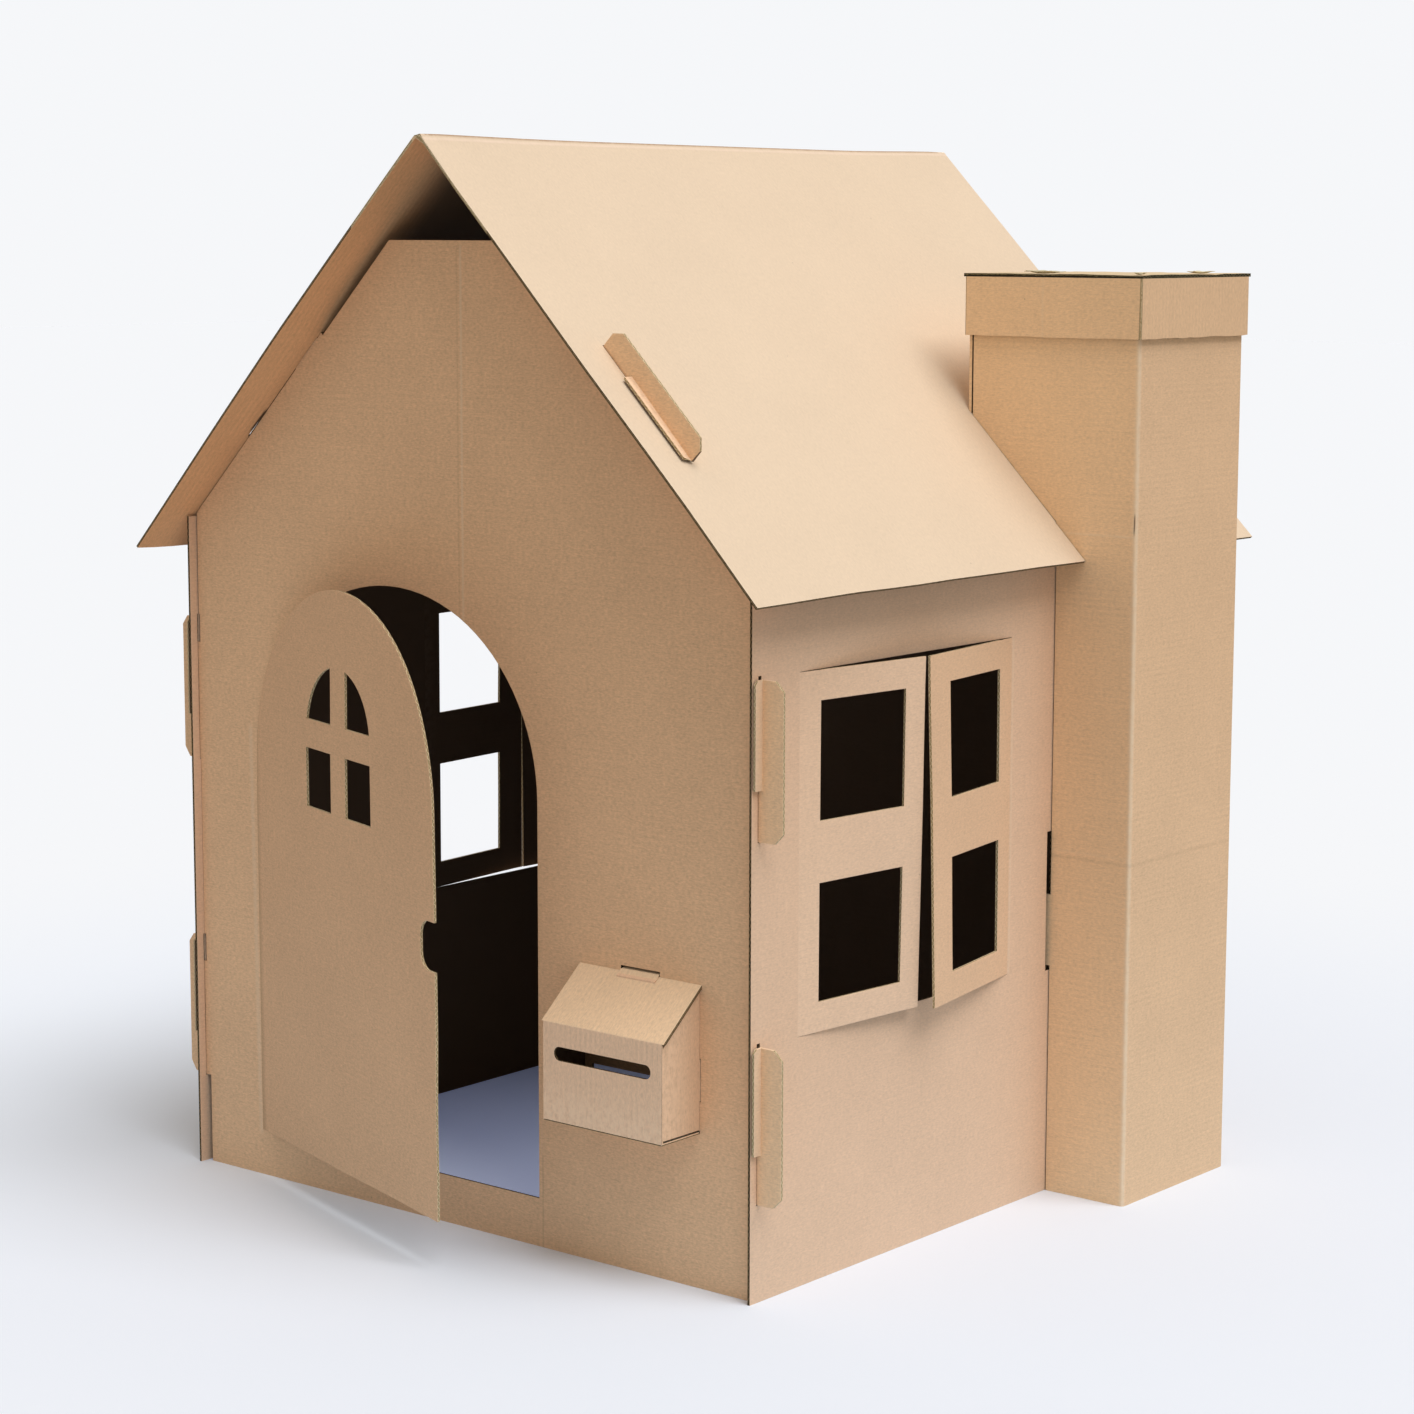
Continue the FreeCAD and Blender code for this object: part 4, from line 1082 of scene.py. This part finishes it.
def makeMailbox():
    piece = startSheet("mailbox")
    low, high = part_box("mailbox")
    half = board["thick"] / 2
    slope = (mailbox["wall"] - mailbox["mouth"]) / mailbox["depth"]
    rise = Vector((0, 1, slope)).normalized()
    lidNormal = Vector((0, -rise.z, rise.y))
    lidOrigin = Vector((0, low.y, mailbox["mouth"])) - lidNormal * half
    left, right = low.x + mailbox["lap"], high.x - mailbox["lap"]
    panels = [
        panel((0, 0, -1), (0, 1, 0), (0, 0, low.z + half), "mailLiner", "deepCut"),
        panel((0, 0, 1), (0, 1, 0), (0, 0, high.z - half), "mailLid", "rakeCut"),
        panel(lidNormal, rise, lidOrigin, "mailLid", "rakeCut"),
        panel((0, -1, 0), (0, 0, 1), (0, low.y + half, 0), "mailLiner"),
        panel((1, 0, 0), (0, 0, 1), (right - half, 0, 0), "mailSide"),
        panel((-1, 0, 0), (0, 0, 1), (left + half, 0, 0), "mailSide"),
    ]

    def onBottom(middle):
        return middle.z < low.z + mailbox["bottom"]

    def onTabEnd(middle):
        return middle.z > mailbox["tabBend"]["above"] and middle.y > mailbox["tabBend"]["behind"]

    cutAt(piece, onBottom, (0, 0, 1), [low.z + board["thick"]])
    cutAt(piece, onTabEnd, (0, 1, 0), [mailbox["tabBend"]["at"]])
    pressRims(piece, panels, (1,))

    def bow(place):
        inTab = mailbox["tab"][0] < place.x < mailbox["tab"][1] and place.z > mailbox["tabAbove"]
        if inTab and place.y > mailbox["tabFront"]:
            return Vector((0, 0, -along(mailbox["tabDip"], place.y)))
        return Vector()

    liners = {
        "mailLiner": linerMaterial("mailLiner", tints["mailFront"], 1.0, 1.2, 0.6),
        "mailLid": linerMaterial("mailLid", tints["mailLid"], 1.0, 1.2, 0.6),
        "mailSide": linerMaterial("mailSide", tints["mailSide"], 0.3, 1.2, 0.6),
    }
    return finishSheet(piece, panels, liners, bow, darkInside=True)


# torn paper left on the lid: middle, length and width, turn in degrees, and how far its rim curls up
scraps = [
    {"place": (0.440, 0.604), "size": (0.060, 0.014), "turn": 4, "lift": 0.0045},
    {"place": (0.583, 0.598), "size": (0.016, 0.012), "turn": 20, "lift": 0.0035},
    {"place": (0.580, 0.745), "size": (0.014, 0.050), "turn": -6, "lift": 0.0040},
]


torn = {
    "grid": (14, 8), "above": 0.0012, "thick": 0.0005,
    "ragged": 0.22, "raggedScale": 130.0,
    "drawnIn": 0.10,
    "curlScale": 70.0,
    "crumple": 0.0006, "crumpleScale": 220.0,
    "smooth": math.radians(40),
}


def makeScraps():
    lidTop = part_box("chimney_cap")[1].z
    pieces = []
    for index, scrap in enumerate(scraps):
        bpy.ops.object.select_all(action="DESELECT")
        bpy.ops.mesh.primitive_grid_add(
            x_subdivisions=torn["grid"][0], y_subdivisions=torn["grid"][1], size=1,
            location=(*scrap["place"], lidTop + torn["above"]))
        piece = bpy.context.object
        piece.scale = (*scrap["size"], 1)
        piece.rotation_euler.z = math.radians(scrap["turn"])
        bpy.ops.object.transform_apply(location=True, rotation=True, scale=True)
        middle = Vector((*scrap["place"], 0))
        for vertex in piece.data.vertices:
            away = vertex.co - middle
            away.z = 0
            reach = max(abs(away.x) / scrap["size"][0], abs(away.y) / scrap["size"][1]) * 2
            rag = noise.noise(Vector((away.x, away.y, index)) * torn["raggedScale"]) * torn["ragged"] * reach
            vertex.co.x -= away.x * max(0.0, rag + torn["drawnIn"] * reach)
            vertex.co.y -= away.y * max(0.0, -rag + torn["drawnIn"] * reach)
            curl = ease(reach, 0.2, 1.0) * (0.6 + 0.4 * noise.noise(vertex.co * torn["curlScale"]))
            crumple = torn["crumple"] * noise.noise(vertex.co * torn["crumpleScale"])
            vertex.co.z += scrap["lift"] * curl + crumple
        applyModifier(piece, "thick", "SOLIDIFY", thickness=torn["thick"])
        pieces.append(piece)
    selectOnly(*pieces)
    bpy.ops.object.join()
    piece = bpy.context.object
    piece.name = "capScraps"
    sheetMap = newMap(piece.data)
    for loop in piece.data.loops:
        place = piece.data.vertices[loop.vertex_index].co
        sheetMap.data[loop.index].uv = (place.x, place.y)
    piece.data.materials.append(linerMaterial("tornPaper", tints["tornPaper"], 0.2, 1.8, 1.0))
    bpy.ops.object.shade_smooth_by_angle(angle=torn["smooth"])
    return piece


# painted highlight along the crease at the far shutter's hinge
wallMarks = [mark("u", 0.5045, 0.0030, 0.296, 0.733, light, 0.45, 0.0002, 0.0, 0.2)]
made = {
    "front_wall": makeFrontWall(),
    "back_wall": makeBackWall(),
    "right_wall": makeSideWall("right_wall", 1, "rightLiner", wallMarks),
    "left_wall": makeSideWall("left_wall", -1, "leftLiner", []),
    "roof": makeRoof(),
    "chimney": makeChimney(),
    "chimney_cap": makeChimneyCap(),
    "mailbox": makeMailbox(),
}
for node, piece in made.items():
    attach(piece, "root")
    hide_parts(node)
    print("sheet", node, len(piece.data.polygons), "faces")
tornScraps = makeScraps()
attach(tornScraps, "root")
print("scraps", len(tornScraps.data.polygons), "faces")


studio = {
    "sun": 2.05,
    "sunColor": (1.0, 0.98, 0.955),
    "sunFrom": (0.46, -0.02, 0.88),
    "sunPlace": (1.5, -0.5, 3.0),
    "sunSpread": math.radians(42),
    "skyLow": 0.21,
    "skyRise": 0.42,
    "skyColor": (1.0, 0.93, 0.82),
    "backdrop": (0.92, 0.93, 0.95),
    "floorSize": 60.0,
    "floorMiddle": (0.0, 0.45, 0.0),
    "floorFade": (0.8, 2.4),  # how far from there the near colours turn into the far ones
    "floorNear": (0.80, 0.87, 1.0), "floorFar": (0.862, 0.910, 0.997),  # as the camera sees it
    "floorGiven": (0.68, 0.83, 1.0), "floorDim": (0.46, 0.42, 0.36),  # as it lights the object, near and far
    # a faint glow on the floor inside the house, which only the camera sees
    "glow": (0.13, 0.155, 0.26),
    "glowFrom": (0.10, 0.05, 0.0),
    "glowReach": 1.25,
    "glowFront": (-0.004, 0.002), "glowBack": 0.917, "glowSide": 0.465,
    "cameraPlace": (2.7726, -2.8914, 1.2290),
    "yaw": math.radians(-39.47),
    "pitch": math.radians(-8.21),
    "roll": math.radians(0.12),
    "film": 36, "lens": 84.475247,  # millimetres
}


def makeFloor():
    bpy.ops.object.select_all(action="DESELECT")
    bpy.ops.mesh.primitive_plane_add(size=studio["floorSize"], location=(0, 0, 0))
    floor = bpy.context.object
    floor.name = "floor"
    material, w, shader = startMaterial("floorPale")
    place = w.add("ShaderNodeTexCoord").outputs["Object"]
    far = w.fade(w.distance(place, studio["floorMiddle"]), *studio["floorFade"])
    path = w.add("ShaderNodeLightPath")
    shown = w.mix(far, (*studio["floorNear"], 1), (*studio["floorFar"], 1))
    given = w.mix(far, (*studio["floorGiven"], 1), (*studio["floorDim"], 1))
    w.join(w.mix(path.outputs["Is Camera Ray"], given, shown), shader.inputs["Base Color"])
    shader.inputs["Roughness"].default_value = 0.95
    shader.inputs["Specular IOR Level"].default_value = 0.0
    # the glow fades from the doorway inwards, stays inside the walls and lights nothing
    near = w.minus(1.0, w.fade(w.distance(place, studio["glowFrom"]), 0.0, studio["glowReach"]))
    spot = w.split(place)
    fromFront = w.fade(spot[1], *studio["glowFront"])
    within = w.times(fromFront, w.math("LESS_THAN", spot[1], studio["glowBack"]))
    within = w.times(within, w.math("LESS_THAN", w.math("ABSOLUTE", spot[0]), studio["glowSide"]))
    glow = w.times(w.times(near, within), path.outputs["Is Camera Ray"])
    shader.inputs["Emission Color"].default_value = (*studio["glow"], 1)
    w.join(glow, shader.inputs["Emission Strength"])
    floor.data.materials.append(material)


def makeWorld():
    world = bpy.data.worlds.new("studioWorld")
    bpy.context.scene.world = world
    world.use_nodes = True
    w = Wiring(world.node_tree)
    background = world.node_tree.nodes["Background"]
    path = w.add("ShaderNodeLightPath")
    seen = w.math("MAXIMUM", path.outputs["Is Camera Ray"], path.outputs["Is Glossy Ray"])
    seen = w.math("MAXIMUM", seen, path.outputs["Is Transmission Ray"])
    split = w.split(w.add("ShaderNodeTexCoord").outputs["Generated"])
    height = w.math("MAXIMUM", split[2], 0.0)
    sky = w.timesPlus(height, studio["skyRise"], studio["skyLow"])
    w.join(w.mix(seen, (*studio["skyColor"], 1), (*studio["backdrop"], 1)), background.inputs["Color"])
    strength = w.add("ShaderNodeMix", data_type="FLOAT")
    w.join(seen, strength.inputs["Factor"])
    w.join(sky, strength.inputs[2])
    strength.inputs[3].default_value = 1.0
    w.join(strength.outputs[0], background.inputs["Strength"])


def makeSun():
    data = bpy.data.lights.new("keyLight", "SUN")
    data.energy = studio["sun"]
    data.angle = studio["sunSpread"]
    data.color = studio["sunColor"]
    lamp = bpy.data.objects.new("keyLight", data)
    lamp.rotation_euler = Vector(studio["sunFrom"]).to_track_quat("Z", "Y").to_euler()
    lamp.location = studio["sunPlace"]
    bpy.context.scene.collection.objects.link(lamp)


def makeCamera():
    data = bpy.data.cameras.new("camera")
    data.lens = studio["lens"]
    data.sensor_width = studio["film"]
    camera = bpy.data.objects.new("camera", data)
    yaw, pitch = studio["yaw"], studio["pitch"]
    forward = Vector((math.sin(yaw) * math.cos(pitch), math.cos(yaw) * math.cos(pitch), math.sin(pitch)))
    right = Vector((math.cos(yaw), -math.sin(yaw), 0))
    up = right.cross(forward)
    roll = studio["roll"]
    turnedRight = right * math.cos(roll) + up * math.sin(roll)
    turnedUp = up * math.cos(roll) - right * math.sin(roll)
    turned = Matrix((turnedRight, turnedUp, -forward)).transposed().to_4x4()
    camera.matrix_world = Matrix.Translation(studio["cameraPlace"]) @ turned
    bpy.context.scene.collection.objects.link(camera)
    bpy.context.scene.camera = camera


makeFloor()
makeWorld()
makeSun()
makeCamera()
bpy.context.scene.view_settings.view_transform = "Standard"
print("studio ready")
